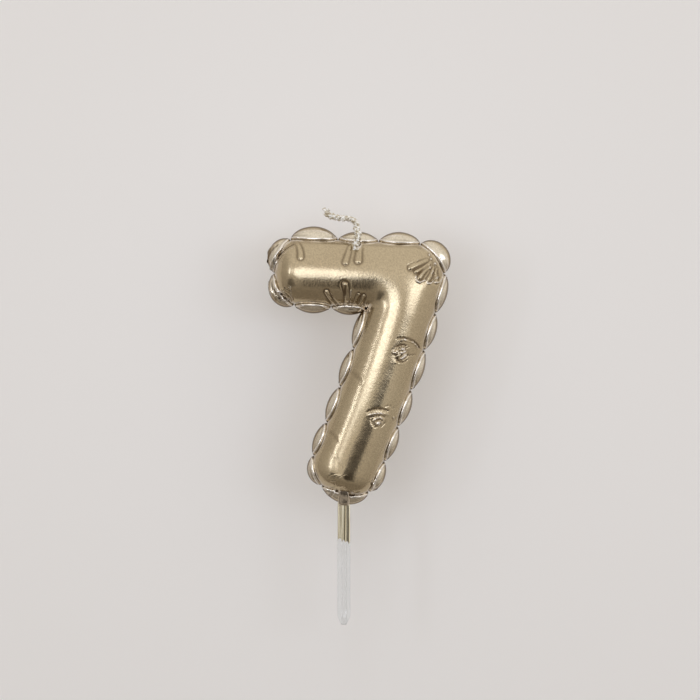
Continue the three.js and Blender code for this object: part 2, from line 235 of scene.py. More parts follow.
@dataclass(frozen=True)
class FigureLine:
    """The flat drawing of the figure: its centre line and its edges. Millimetres."""

    tube_width: float = 17.9
    bar_length: float = 28.4
    bar_tilt: float = math.radians(2.5)
    stem_drop: float = 50.4
    joint_lean: float = 0.27
    foot_lean: float = 0.411
    end_reach: float = 8.0
    end_ridge: float = 0.28
    end_squareness: float = 2.6
    foot_centre: tuple[float, float] = (0.7, 43.0)
    spacing: float = 0.28
    bend_turn: float = 1.8
    profile_steps: int = 2000
    halvings: int = 60

    @property
    def radius(self) -> float:
        """Half the tube's width."""
        return self.tube_width / 2

    @property
    def bar_out(self) -> Array:
        """Direction along the bar, away from the joint."""
        return np.array([-math.cos(self.bar_tilt), math.sin(self.bar_tilt)])

    @property
    def bar_up(self) -> Array:
        """Direction square to the bar, upwards."""
        return np.array([math.sin(self.bar_tilt), math.cos(self.bar_tilt)])

    def lean(self, down: Array) -> Array:
        """Sideways run of the stem for each millimetre down, growing evenly from joint to foot."""
        return self.joint_lean + (self.foot_lean - self.joint_lean) * down / self.stem_drop

    def run(self, down: Array) -> Array:
        """Sideways run of the stem from the joint: the mean lean so far times the distance down."""
        return (self.joint_lean + self.lean(down)) / 2 * down

    @property
    def joint(self) -> Array:
        """Where the centre lines of bar and stem meet."""
        return np.array(self.foot_centre) + [self.run(self.stem_drop), self.stem_drop]

    def bar_centre(self, distance: Array) -> Array:
        """Points of the bar's centre line at distances from the joint."""
        return self.joint + np.multiply.outer(np.asarray(distance), self.bar_out)

    def stem_centre(self, down: Array) -> Array:
        """Points of the stem's centre line at distances down from the joint."""
        down = np.asarray(down)
        return self.joint - np.stack([self.run(down), down], -1)

    def stem_right(self, down: Array) -> Array:
        """Directions square to the stem's centre line, to the right."""
        down = np.asarray(down)
        return unit(np.stack([np.ones_like(down, float), -self.lean(down)], -1))

    def inner_corner(self) -> tuple[Array, float, float]:
        """Finds where the bar's lower edge meets the stem's left edge, by halving the way down.

        Returns:
            The corner, how far down the stem it is and how far along the bar.
        """
        high, low = 0.0, self.stem_drop
        for _ in range(self.halvings):
            middle = (high + low) / 2
            edge = self.stem_centre(middle) - self.radius * self.stem_right(middle)
            over_bar = (edge - self.joint) @ self.bar_up + self.radius
            high, low = (middle, low) if over_bar > 0 else (high, middle)
        corner = self.stem_centre(low) - self.radius * self.stem_right(low)
        return corner, low, float((corner - self.joint) @ self.bar_out)

    def end_profile(self) -> tuple[Array, Array]:
        """A quarter of a rounded end, evenly spaced from its middle to its side.

        The reach goes with the cosine and the half width with the sine of an angle, each raised to 2
        over the squareness, which makes a superellipse.

        Returns:
            The distances out and the distances to the side.
        """
        angle = np.linspace(0, math.pi / 2, self.profile_steps)
        power = 2 / self.end_squareness
        out = self.end_reach * np.maximum(np.cos(angle), 0) ** power
        out[-1] = 0
        side = self.radius * np.sin(angle) ** power
        travelled = running_total(np.hypot(np.diff(out), np.diff(side)))
        even = np.linspace(0, travelled[-1], round(travelled[-1] / self.spacing) + 1)
        return np.interp(even, travelled, out), np.interp(even, travelled, side)

    def bend_edge(self, share: Array, corner_down: float, corner_along: float) -> Array:
        """The outer edge through the bend: straight along the bar, an arc about the joint, down the stem.

        Args:
            share: Shares of the way through the bend.
            corner_down: How far down the stem the inner corner is.
            corner_along: How far along the bar it is.

        Returns:
            Points of the edge.
        """
        start = math.atan2(self.bar_up[1], self.bar_up[0])
        turn = start - math.atan2(-self.joint_lean, 1)
        arc = self.radius * turn
        travel = share * (corner_along + arc + corner_down)
        on_bar = self.bar_centre(np.maximum(corner_along - travel, 0)) + self.radius * self.bar_up
        angle = start - np.clip((travel - corner_along) / self.radius, 0, turn)
        on_arc = self.joint + self.radius * np.stack([np.cos(angle), np.sin(angle)], -1)
        down = np.maximum(travel - corner_along - arc, 0)
        on_stem = self.stem_centre(down) + self.radius * self.stem_right(down)
        past_bar = (travel > corner_along)[:, None]
        past_arc = (travel >= corner_along + arc)[:, None]
        return np.where(past_arc, on_stem, np.where(past_bar, on_arc, on_bar))

    def ribs(self) -> Ribs:
        """Lays ribs about one spacing apart along the longer edge of each stretch.

        In the ends they fan out, with their feet a share of the way out along the centre line. In the
        bend, whose edge is reckoned with a rounded turn in radians, they turn on the inner corner,
        while their feet follow a curve with the joint as its control point.

        Returns:
            The ribs.
        """
        corner, corner_down, corner_along = self.inner_corner()
        out, side = self.end_profile()
        bar_end = self.bar_centre(self.bar_length)
        tip = bar_end + np.outer(out, self.bar_out)
        across = np.outer(side, self.bar_up)
        feet = bar_end + self.end_ridge * np.outer(out, self.bar_out)
        parts = [(tip + across, feet, tip - across)]

        steps = round((self.bar_length - corner_along) / self.spacing)
        centre = self.bar_centre(np.linspace(self.bar_length, corner_along, steps + 1)[1:-1])
        parts.append((centre + self.radius * self.bar_up, centre, centre - self.radius * self.bar_up))

        bend = len(parts)
        edge_length = corner_along + corner_down + self.radius * self.bend_turn
        share = np.linspace(0, 1, round(edge_length / self.spacing) + 1)
        outer = self.bend_edge(share, corner_down, corner_along)
        weights = np.stack([(1 - share) ** 2, 2 * share * (1 - share), share**2], -1)
        feet = np.stack([self.bar_centre(corner_along), self.joint, self.stem_centre(corner_down)])
        parts.append((outer, weights @ feet, np.broadcast_to(corner, outer.shape)))

        steps = round((self.stem_drop - corner_down) / self.spacing)
        down = np.linspace(corner_down, self.stem_drop, steps + 1)[1:]
        centre, right = self.stem_centre(down), self.stem_right(down)
        parts.append((centre + self.radius * right, centre, centre - self.radius * right))

        right = self.stem_right(self.stem_drop)
        foot = self.stem_centre(self.stem_drop)
        tip = foot + np.outer(out[-2::-1], [right[1], -right[0]])
        across = np.outer(side[-2::-1], right)
        feet = foot + self.end_ridge * (tip - foot)
        parts.append((tip + across, feet, tip - across))

        on_corner = np.concatenate([np.full(len(part[0]), i == bend) for i, part in enumerate(parts)])
        return Ribs(*(np.concatenate(column) for column in zip(*parts)), on_corner)


@dataclass(frozen=True)
class Lobe:
    """One lobe of the seam: its length along the seam and how far it stands out, in millimetres."""

    length: float
    reach: float


def even_lobes(reach: float, *lengths: float) -> tuple[Lobe, ...]:
    """Lobes of several lengths that stand out alike."""
    return tuple(Lobe(length, reach) for length in lengths)


SEAM_LOBES = (
    *even_lobes(2.1, 9.7, 10.1),
    Lobe(11, 2.4),
    Lobe(10.6, 2.6),
    Lobe(12.9, 3.4),
    Lobe(11.1, 2.5),
    Lobe(11.4, 2.9),
    Lobe(10.7, 3.4),
    *even_lobes(1.9, 11.1, 10.5, 11.5, 10.5, 10.2),
    Lobe(9.3, 2.0),
    Lobe(13.6, 2.4),
    Lobe(8.8, 1.5),
    *even_lobes(1.9, 9.7, 10.4, 11, 11.7),
)


class MarkKind(Enum):
    """How a mark of the pinched foil stands on the wax."""

    RIDGE = "a raised line"
    GROOVE = "a sunk line"
    FINGER = "a raised finger with a groove round it, which fades towards its start"
    BULGE = "a raised or sunk spot with a soft groove round it"


@dataclass(frozen=True)
class Dome:
    """The profile of a finger or a bulge. Distances are from its line, over half its width.

    Attributes:
        top: The height of its middle over its rise.
        power: The power of its dome, which is a parabola at 1.
        groove_place: Where the groove round it is deepest.
        groove_width: The width of the groove's bell curve.
        groove_depth: The groove's depth over the mark's rise.
        start_width: Its width at its start, as a share of the full one.
        start_height: Its height and depth at its start, as a share of those from its middle on.
    """

    top: float
    power: float
    groove_place: float
    groove_width: float
    groove_depth: float
    start_width: float = 1.0
    start_height: float = 1.0

    def height(self, distance: Array, along: Array) -> Array:
        """Height over the mark's rise: one minus the distance's square, to a power, less a bell curve.

        Args:
            distance: Distances from the mark's line, over half its width.
            along: How far along it each point is, from 0 to 1.

        Returns:
            The heights.
        """
        from_line = distance / (self.start_width + (1 - self.start_width) * along)
        dome = self.top * np.maximum(1 - from_line**2, 0) ** self.power
        groove = self.groove_depth * bell(from_line, self.groove_place, self.groove_width)
        return (self.start_height + (1 - self.start_height) * ramp(along, 0, 0.5)) * (dome - groove)


DOMES = {
    MarkKind.FINGER: Dome(0.45, 1.0, 1.0, 0.4, 0.75, start_width=0.7, start_height=0.5),
    MarkKind.BULGE: Dome(1.0, 1.2, 1.05, 0.3, 0.45),
}
# A mark's bowed line has this many points, and the mark counts this far beyond its width.
LINE_POINTS = 9
MARK_MARGIN = 0.2


@dataclass(frozen=True)
class Mark:
    """A mark along a short bowed line on the front. Places are x, z and all sizes are millimetres.

    Attributes:
        kind: How it stands on the wax.
        start: Its first end, which on a finger is the one at the seam.
        end: Its other end.
        width: Its width.
        rise: How far it stands out, or how deep it is.
        bow: How far its middle lies to the left of the straight line from start to end.
    """

    kind: MarkKind
    start: tuple[float, float]
    end: tuple[float, float]
    width: float
    rise: float
    bow: float = 0.0

    def line(self) -> Array:
        """The bowed line: a parabola over the straight line between the ends.

        Returns:
            Its points, rows of x, z.
        """
        share = np.linspace(0, 1, LINE_POINTS)[:, None]
        start, end = np.array(self.start), np.array(self.end)
        run = unit(end - start)
        left = np.array([-run[1], run[0]])
        return start + (end - start) * share + left * (4 * self.bow * share * (1 - share))

    def height(self, flat: Array) -> Array:
        """How far the mark lifts the surface over points of the figure's plane.

        The distance to the line is divided by half the width. A ridge or groove falls off as one minus
        its square, squared, and thins to half its width towards both ends. A finger or a bulge is a
        dome with a groove round it, and a finger grows from a narrower, lower start. All of them fade
        out within their own width of the line.

        Args:
            flat: Rows of x, z.

        Returns:
            A height for each row, negative where the surface is sunk.
        """
        line = self.line()
        height = np.zeros(len(flat))
        reach = self.width + MARK_MARGIN
        near = np.all((flat > line.min(0) - reach) & (flat < line.max(0) + reach), axis=1)
        offset = flat[near][:, None] - line[:-1]
        run = np.diff(line, axis=0)
        share = np.clip((offset * run).sum(-1) / (run * run).sum(-1).clip(1e-9), 0, 1)
        gap = np.linalg.norm(offset - share[..., None] * run, axis=-1)
        closest = gap.argmin(1)
        rows = np.arange(len(closest))
        along = (closest + share[rows, closest]) / len(run)
        distance = gap.min(1) / (self.width / 2)
        if self.kind in DOMES:
            height[near] = self.rise * DOMES[self.kind].height(distance, along)
        else:
            thinned = distance / (0.5 + 2 * along * (1 - along))
            height[near] = self.rise * np.maximum(1 - thinned**2, 0) ** 2
        return -height if self.kind is MarkKind.GROOVE else height


FINGER, RIDGE, GROOVE, BULGE = MarkKind.FINGER, MarkKind.RIDGE, MarkKind.GROOVE, MarkKind.BULGE

TOP_FOLDS = (
    Mark(FINGER, (2.0, 102.1), (0.4, 96.9), 1.7, 0.26),
    Mark(GROOVE, (1.5, 100.8), (0.6, 97.6), 0.4, 0.12),
    Mark(FINGER, (4.2, 101.3), (3.8, 97.5), 2.1, 0.26),
    Mark(GROOVE, (3.7, 100.5), (3.4, 97.8), 0.4, 0.14),
    Mark(GROOVE, (4.4, 100.5), (4.2, 97.8), 0.4, 0.14),
    Mark(FINGER, (-12.6, 102.6), (-11.5, 98.4), 1.8, 0.24, 0.3),
)
UNDERSIDE_FOLDS = (
    Mark(FINGER, (-2.2, 85.9), (-4.6, 89.0), 1.4, 0.34, 0.3),
    Mark(GROOVE, (-2.7, 86.7), (-4.2, 88.5), 0.4, 0.2),
    Mark(FINGER, (0.8, 85.9), (0.3, 90.9), 1.8, 0.38, -0.2),
    Mark(GROOVE, (0.4, 90.7), (0.5, 88.0), 1.1, 0.5),
    Mark(RIDGE, (1.7, 89.9), (1.0, 86.4), 0.5, 0.34, 0.4),
    Mark(FINGER, (2.6, 85.7), (3.9, 88.3), 1.1, 0.26),
    Mark(FINGER, (3.9, 85.3), (5.3, 87.9), 1.2, 0.34, -0.2),
    Mark(RIDGE, (-2.6, 86.4), (-0.8, 85.3), 0.4, 0.16, -0.4),
)
CORNER_FOLDS = (
    Mark(FINGER, (22.1, 97.6), (17.7, 95.5), 1.6, 0.28),
    Mark(RIDGE, (19.8, 97.7), (17.4, 96.3), 0.4, 0.26, 0.3),
    Mark(FINGER, (23.2, 97.2), (19.2, 94.5), 1.3, 0.3, 0.3),
    Mark(FINGER, (23.0, 95.8), (20.2, 92.8), 1.5, 0.34, -0.3),
    Mark(FINGER, (24.0, 95.8), (22.5, 92.4), 1.3, 0.32, 0.2),
    Mark(FINGER, (24.9, 95.4), (24.8, 92.0), 1.3, 0.3, -0.2),
    Mark(RIDGE, (19.1, 93.3), (21.5, 92.3), 0.7, 0.5, -1.2),
    Mark(RIDGE, (21.9, 92.1), (23.6, 92.0), 0.6, 0.5, -0.7),
    Mark(RIDGE, (23.9, 91.8), (25.8, 92.4), 0.6, 0.5, -0.5),
    Mark(BULGE, (24.3, 96.7), (24.3, 96.6), 0.9, 0.36),
    Mark(BULGE, (22.8, 99.1), (22.8, 99.0), 0.7, 0.34),
    Mark(BULGE, (23.2, 98.0), (23.3, 97.9), 0.7, 0.34),
    Mark(BULGE, (24.9, 92.9), (25.0, 92.8), 0.9, 0.3),
)
UPPER_KNOT = (
    Mark(GROOVE, (14.1, 76.7), (20.5, 73.9), 0.5, 0.55, 1.1),
    Mark(RIDGE, (15.1, 76.3), (19.8, 74.2), 0.6, 0.28, 0.9),
    Mark(BULGE, (15.2, 72.9), (15.2, 72.6), 3.5, 0.12),
    Mark(GROOVE, (13.8, 74.4), (17.0, 74.3), 0.5, 0.32, 0.6),
    Mark(BULGE, (15.6, 74.0), (15.9, 74.0), 0.9, 0.46),
    Mark(BULGE, (15.9, 73.2), (16.3, 73.4), 0.7, 0.4),
    Mark(BULGE, (16.4, 72.3), (15.5, 71.5), 0.9, 0.5),
    Mark(RIDGE, (12.9, 73.6), (14.0, 72.7), 0.4, 0.34, -0.2),
    Mark(RIDGE, (14.1, 71.9), (16.2, 72.6), 0.3, 0.24, 0.2),
    Mark(GROOVE, (14.6, 73.8), (15.0, 72.4), 0.5, 0.42),
    Mark(GROOVE, (13.8, 71.2), (16.8, 71.0), 0.5, 0.36, -0.7),
    Mark(GROOVE, (16.8, 72.1), (19.2, 72.4), 0.3, 0.22),
    Mark(RIDGE, (13.7, 70.4), (16.0, 70.1), 0.3, 0.12, -0.3),
)
LOWER_KNOT = (
    Mark(GROOVE, (6.0, 57.2), (12.0, 57.2), 0.6, 0.5, 0.9),
    Mark(RIDGE, (6.3, 56.3), (12.4, 56.1), 0.5, 0.32, 0.7),
    Mark(GROOVE, (7.1, 55.6), (11.1, 55.7), 0.3, 0.28, 0.5),
    Mark(RIDGE, (7.9, 54.9), (10.6, 55.1), 0.4, 0.3, 0.7),
    Mark(RIDGE, (8.1, 54.9), (9.0, 53.3), 0.4, 0.22, -0.2),
    Mark(RIDGE, (10.5, 55.0), (9.2, 53.3), 0.4, 0.22, 0.2),
    Mark(BULGE, (9.2, 54.4), (9.1, 54.1), 1.2, 0.46),
    Mark(GROOVE, (8.5, 54.9), (9.3, 55.1), 0.3, 0.2),
    Mark(GROOVE, (7.4, 55.7), (8.6, 53.1), 0.4, 0.34, -0.4),
    Mark(GROOVE, (11.1, 55.2), (9.7, 53.1), 0.3, 0.2, 0.3),
    Mark(BULGE, (13.2, 55.7), (13.3, 55.5), 0.8, 0.22),
    Mark(GROOVE, (10.8, 58.6), (13.4, 58.0), 0.3, 0.2, 0.5),
    Mark(RIDGE, (11.0, 58.2), (12.8, 57.7), 0.3, 0.12, 0.3),
)
STEM_FOLDS = (
    Mark(GROOVE, (1.6, 68.1), (4.6, 64.6), 1.9, 0.06, 0.4),
    Mark(RIDGE, (2.4, 68.9), (5.4, 65.4), 1.3, 0.04, 0.4),
    Mark(GROOVE, (-4.5, 52.4), (-1.8, 49.5), 1.6, 0.06, 0.3),
    Mark(RIDGE, (-3.7, 53.2), (-1.3, 50.3), 1.2, 0.04, 0.3),
    Mark(GROOVE, (-3.4, 46.3), (-0.2, 42.3), 1.6, 0.04, 0.3),
)
END_STREAKS = (
    Mark(RIDGE, (-20.0, 93.3), (-14.2, 102.5), 0.7, 0.34, 1.6),
    Mark(GROOVE, (-19.1, 92.8), (-13.4, 101.9), 0.6, 0.3, 1.7),
    Mark(RIDGE, (-18.2, 92.5), (-13.2, 101.0), 0.4, 0.18, 1.8),
    Mark(GROOVE, (-20.6, 96.0), (-17.2, 102.1), 0.6, 0.26, 1.0),
    Mark(RIDGE, (-21.0, 97.0), (-18.5, 101.9), 0.5, 0.24, 0.8),
    Mark(RIDGE, (-20.0, 92.0), (-18.8, 88.0), 0.6, 0.3, -0.5),
    Mark(GROOVE, (-19.2, 92.0), (-18.0, 88.5), 0.5, 0.3, -0.5),
    Mark(RIDGE, (-18.5, 92.3), (-17.1, 89.3), 0.4, 0.24, -0.4),
)
WICK_SOCKET = (
    Mark(BULGE, (3.6, 101.9), (3.6, 101.7), 1.9, -0.55),
    Mark(RIDGE, (2.3, 101.9), (4.8, 102.0), 0.4, 0.4, -1.2),
)


@dataclass(frozen=True)
class Crinkles:
    """A patch of short crossing ridges and grooves. Places are x, z and all sizes are millimetres.

    Attributes:
        middle: The patch's middle.
        spread: How far it reaches each way along x and z.
        count: How many marks it has.
        slant: Degrees from x of most marks.
        rise: The height of the highest.
        seed: What its chance places start from.
        scatter: How far the slants spread, in radians.
        half_lengths: The least and the greatest half length.
        rise_shares: The least and the greatest share of the rise.
        widths: The least and the greatest width.
        most_bow: The greatest bow to either side.
    """

    middle: tuple[float, float]
    spread: tuple[float, float]
    count: int
    slant: float
    rise: float
    seed: int
    scatter: float = 0.5
    half_lengths: tuple[float, float] = (0.4, 1.1)
    rise_shares: tuple[float, float] = (0.4, 1.0)
    widths: tuple[float, float] = (0.35, 0.7)
    most_bow: float = 0.3

    def marks(self) -> list[Mark]:
        """Lays the marks at seeded chance places inside the patch.

        Returns:
            Grooves and ridges in turn.
        """
        chance = np.random.default_rng(self.seed)
        made = []
        for number in range(self.count):
            middle = np.array(self.middle) + chance.uniform(-1, 1, 2) * self.spread
            turn = math.radians(self.slant) + chance.normal(0, self.scatter)
            half = chance.uniform(*self.half_lengths) * np.array([math.cos(turn), math.sin(turn)])
            kind = RIDGE if number % 2 else GROOVE
            rise = self.rise * chance.uniform(*self.rise_shares)
            width = chance.uniform(*self.widths)
            bow = chance.uniform(-self.most_bow, self.most_bow)
            made.append(Mark(kind, tuple(middle - half), tuple(middle + half), width, rise, bow))
        return made


CRINKLED_PLACES = (
    Crinkles((-16.2, 88.3), (2.4, 1.8), 26, -45.0, 0.32, 3),
    Crinkles((-2.9, 38.9), (3.0, 2.0), 26, 30.0, 0.06, 5),
    Crinkles((-0.5, 35.1), (5.0, 0.9), 30, 5.0, 0.34, 7),
    Crinkles((8.8, 37.0), (1.6, 1.8), 14, 60.0, 0.22, 11),
    Crinkles((24.0, 94.4), (1.3, 2.2), 10, 70.0, 0.2, 13),
    Crinkles((15.2, 72.9), (1.3, 1.3), 14, 10.0, 0.22, 17),
)
MARKS = (*TOP_FOLDS, *UNDERSIDE_FOLDS, *CORNER_FOLDS, *UPPER_KNOT, *LOWER_KNOT, *STEM_FOLDS, *END_STREAKS,
         *WICK_SOCKET, *(mark for place in CRINKLED_PLACES for mark in place.marks()))


@dataclass(frozen=True)
class CreaseLine:
    """A fine raised or sunk line beside the crease, which two waves make come and go. Millimetres.

    Attributes:
        place: Its distance from the crease, negative on the lobe. The lobe's line has a share of the
            lobe's width instead.
        width: The width of its bell curve, in the same measure.
        rise: How far it stands out, negative where it is sunk.
        swing: How much of its strength the waves change.
        rates: Radians of the two waves for each millimetre along the tube.
        phase: The angle at which the first wave starts.
    """

    place: float
    width: float
    rise: float
    swing: float = 0.0
    rates: tuple[float, float] = (0.0, 0.0)
    phase: float = 0.0

    def share(self, distance: Array, travelled: Array) -> Array:
        """Its bell curve times one minus the swing plus the swing times the product of both waves."""
        waves = np.sin(self.rates[0] * travelled + self.phase) * np.sin(self.rates[1] * travelled)
        return bell(distance, self.place, self.width) * (1 - self.swing + self.swing * waves)


@dataclass(frozen=True)
class LobeSections:
    """The lobes' cross sections at places on the seam.

    Attributes:
        edge: The place on the seam, rows of x, z.
        out: The direction out of the figure there, rows of x, z.
        tip: How far the lobe stands out.
        swell: How thick it is, from 0 to 1.
        angle: The crease's angle on the section's ellipse.
        crease: How far inside the seam the crease is.
        rise: How far it lies over the seam's plane.
    """

    edge: Array
    out: Array
    tip: Array
    swell: Array
    angle: Array
    crease: Array
    rise: Array


@dataclass
class WaxFigure:
    """The puffed wax seven with its scalloped seam. Sizes in millimetres, shades from 0 to 1."""

    line: FigureLine = field(default_factory=FigureLine)
    lobes: tuple[Lobe, ...] = SEAM_LOBES
    marks: tuple[Mark, ...] = MARKS
    tube_depth: float = 13.4
    lobe_depth: float = 5.0
    lobe_root: float = 2.4
    swell_power: float = 0.46
    tip_power: float = 0.72
    seam_smoothing: float = 0.9
    tube_bead: CreaseLine = CreaseLine(0.3, 0.18, 0.2, 0.45, (0.9, 0.37), 1.0)
    lobe_bead: CreaseLine = CreaseLine(-0.5, 0.27, 0.3)
    lobe_groove: CreaseLine = CreaseLine(-0.98, 0.2, -0.14, 0.5, (0.7, 0.29), 2.0)
    lobe_line: CreaseLine = CreaseLine(0.68, 0.08, 0.07, 0.5, (0.53, 0.21), 1.0)
    narrow_lobe: tuple[float, float] = (0.3, 0.9)
    least_lobe: float = 0.5
    # The lobes' paler colour is a painted sheen; these two fade it over the outer part of their front.
    lobe_sheen_fade: float = 0.9
    lobe_sheen_fade_range: tuple[float, float] = (0.5, 0.8)
    # The next seven set the painted shade along the lobes' outer rim, in sunk marks and grooves, and at the
    # crease.
    rim_width: float = 0.28
    rim_fade: float = 0.25
    dark_depth: float = 0.22
    groove_shade: float = 0.6
    dark_from_corner: tuple[float, float] = (0.8, 3.5)
    back_rim_painted_shade: tuple[float, ...] = (0.9, 0.6, 0.2)
    crease_painted_shade: tuple[float, ...] = (0.6, 1.0, 0.5)
    # The next four set the pale colour: wear on raised marks and beads, with painted highlights there, along
    # the lobes' line and at the inner corner.
    pale_rise: tuple[float, float] = (0.12, 0.32)
    pale_mark: float = 0.9
    pale_line: float = 0.8
    pale_to_corner: tuple[float, float] = (0.4, 1.6)
    front_steps: tuple[int, int] = (16, 52)
    back_steps: tuple[int, int] = (10, 26)
    halvings: int = 40

    def seam(self, ribs: Ribs) -> tuple[Loop, Array, Array]:
        """Joins the ribs' ends into the seam, clockwise from the inner corner.

        Args:
            ribs: The ribs.

        Returns:
            The seam, and how far along it the outer and the inner end of each rib lie.
        """
        first = int(np.argmax(ribs.on_corner))
        last = len(ribs.on_corner) - 1 - int(np.argmax(ribs.on_corner[::-1]))
        underside = ribs.inner[first::-1]
        stem_left = ribs.inner[:last - 1:-1]
        points = np.concatenate([underside, ribs.outer[1:], stem_left[1:]])
        steps = np.linalg.norm(np.diff(points, axis=0), axis=1)
        loop = Loop(points, running_total(steps))
        outer = loop.travelled[first:first + len(ribs.outer)]
        inner = np.zeros(len(ribs.inner))
        inner[:first + 1] = loop.travelled[first::-1]
        inner[last:] = loop.travelled[:-(len(stem_left) + 1):-1]
        return loop, outer, inner

    def notches(self, loop: Loop) -> Array:
        """Where one lobe ends and the next begins: their lengths share the seam out."""
        lengths = np.array([lobe.length for lobe in self.lobes])
        return running_total(lengths) * loop.length / lengths.sum()

    def lobe_sections(self, loop: Loop, place: Array) -> LobeSections:
        """The lobes' cross sections at places on the seam.

        A lobe's section is an ellipse from its root inside the tube to its tip outside the seam. Both
        its tip and its thickness swell and fade along it as four times the share times the rest of it,
        each to a power of its own. The crease is where the ellipse leaves the tube, found by halving.

        Args:
            loop: The seam.
            place: Distances along it.

        Returns:
            The sections.
        """
        notches = self.notches(loop)
        index = np.clip(np.searchsorted(notches, place, side="right") - 1, 0, len(self.lobes) - 1)
        start, end = notches[index], notches[index + 1]
        share = np.clip((place - start) / (end - start), 0, 1)
        fullness = 4 * share * (1 - share)
        swell = fullness**self.swell_power
        tip = np.array([lobe.reach for lobe in self.lobes])[index] * fullness**self.tip_power
        ahead = loop.at(np.minimum(place + self.seam_smoothing, end))
        behind = loop.at(np.maximum(place - self.seam_smoothing, start))
        run = unit(ahead - behind)
        out = np.stack([-run[:, 1], run[:, 0]], -1)

        middle, half = (tip - self.lobe_root) / 2, (tip + self.lobe_root) / 2
        low = np.arccos(np.clip(-middle / half, -1, 1))
        high = np.full_like(low, math.pi)
        radius = self.line.radius
        for _ in range(self.halvings):
            angle = (low + high) / 2
            inside = np.maximum(-(middle + half * np.cos(angle)), 0)
            tube = self.tube_depth / 2 * np.sqrt(np.maximum(1 - (1 - inside / radius) ** 2, 0))
            lobe = self.lobe_depth / 2 * swell * np.sin(angle)
            low, high = np.where(lobe > tube, angle, low), np.where(lobe > tube, high, angle)
        angle = np.where(swell > 1e-6, low, 0)
        crease = np.where(swell > 1e-6, -(middle + half * np.cos(angle)), 0)
        rise = self.lobe_depth / 2 * swell * np.sin(angle)
        return LobeSections(loop.at(place), out, tip, swell, angle, crease, rise)

    def half_rings(self, centre: Array, section: LobeSections,
                   steps: tuple[int, int]) -> tuple[Array, Array]:
        """One side of the figure from the lobes' tips over the crease to the centre line.

        On the lobe a point follows the section's ellipse. On the tube it lies a share of the way from
        the centre line to the crease, and its height is half the depth times the root of one minus the
        square of that share, scaled so that it meets the crease.

        Args:
            centre: The ribs' feet, rows of x, z.
            section: The lobes' sections at the ribs' ends.
            steps: How many steps the lobe and the tube have.

        Returns:
            Flat places (ribs, points, 2) and heights over the seam's plane (ribs, points).
        """
        lobe_steps, tube_steps = steps
        bend = (1 - np.cos(np.linspace(0, math.pi, lobe_steps + 1))) / 2
        angle = section.angle[:, None] * bend[None, :-1]
        half = (section.tip + self.lobe_root)[:, None] / 2
        offset = (section.tip - self.lobe_root)[:, None] / 2 + half * np.cos(angle)
        lobe_flat = section.edge[:, None] + offset[..., None] * section.out[:, None]
        lobe_height = self.lobe_depth / 2 * section.swell[:, None] * np.sin(angle)

        half_depth = self.tube_depth / 2
        foot_share = np.sqrt(np.maximum(1 - (section.rise / half_depth) ** 2, 0))
        first = np.arccos(foot_share)
        turn = first[:, None] + (math.pi / 2 - first)[:, None] * np.linspace(0, 1, tube_steps + 1)
        share = np.cos(turn)
        share[:, -1] = 0
        crease = section.edge - section.crease[:, None] * section.out
        reach = (crease - centre)[:, None] * (share / foot_share[:, None])[..., None]
        tube_flat = centre[:, None] + reach
        tube_height = half_depth * np.sin(turn)
        return (np.concatenate([lobe_flat, tube_flat], 1), np.concatenate([lobe_height, tube_height], 1))

    def rings(self) -> tuple[Array, int, Array]:
        """Rings of points round the whole figure, one for each rib.

        A ring starts at the tip of the outer lobe, crosses the front to the tip of the inner lobe and
        comes back over the back.

        Returns:
            The points (ribs, around, 3), how many points of a ring are on the front, and which rings
            turn on the inner corner.
        """
        ribs = self.line.ribs()
        loop, outer_place, inner_place = self.seam(ribs)
        notches = self.notches(loop)[1:-1]
        outer = self.lobe_sections(loop, snapped(outer_place, notches, self.line.spacing))
        inner = self.lobe_sections(loop, snapped(inner_place, notches, self.line.spacing))
        sides = []
        for face, steps in ((-1, self.front_steps), (1, self.back_steps)):
            halves = [self.half_rings(ribs.centre, section, steps) for section in (outer, inner)]
            flat, high = (np.concatenate([a, b[:, -2::-1]], 1) for a, b in zip(*halves))
            sides.append(np.stack([flat[..., 0], face * high, flat[..., 1]], -1))
        front, back = sides
        return np.concatenate([front, back[:, -2:0:-1]], 1), front.shape[1], ribs.on_corner

    def both_sides(self, pair: Array, front: int) -> Array:
        """Repeats what belongs to the outer and to the inner lobe over their halves of the front."""
        return np.repeat(pair, (front // 2, front - front // 2), axis=1)

    def on_lobe(self, front: int) -> Array:
        """Which points of a ring's front lie on the lobes: its first and last few."""
        place = np.arange(front)
        return np.minimum(place, front - 1 - place) < self.front_steps[0]

    def from_crease(self, flat: Array) -> Array:
        """How far each point of the front is from the crease on its side of the centre line.

        Args:
            flat: The front's points (ribs, front, 2).

        Returns:
            Flat distances (ribs, front), negative on the lobes.
        """
        steps, front = self.front_steps[0], flat.shape[1]
        crease = self.both_sides(flat[:, [steps, front - steps - 1]], front)
        return np.linalg.norm(flat - crease, axis=-1) * np.where(self.on_lobe(front), -1, 1)

    def lobe_width(self, gap: Array) -> Array:
        """How wide the lobe on each point's side is, from its distances from the crease."""
        return self.both_sides(-gap[:, [0, -1]], gap.shape[1])

    def crease_lines(self, gap: Array) -> tuple[Array, Array, Array, Array]:
        """The fine beads, the groove and the line along the crease.

        They fall off with the distance from the crease, and the line with its share of the lobe's
        width. Those on the lobe fade out where it gets narrow.

        Args:
            gap: Distances from the crease, negative on the lobes.

        Returns:
            Shares from 0 to 1 of the tube's bead, and the lobe's bead, groove and line.
        """
        travelled = np.arange(len(gap))[:, None] * self.line.spacing
        width = self.lobe_width(gap)
        across = -gap / np.maximum(width, self.least_lobe)
        tube_bead = self.tube_bead.share(gap, travelled)
        lobe_bead = self.lobe_bead.share(gap, travelled)
        groove = self.lobe_groove.share(gap, travelled)
        line = self.lobe_line.share(across, travelled) * (gap < 0)
        wide = ramp(width, *self.narrow_lobe)
        return tube_bead, lobe_bead * wide, groove * wide, line * wide

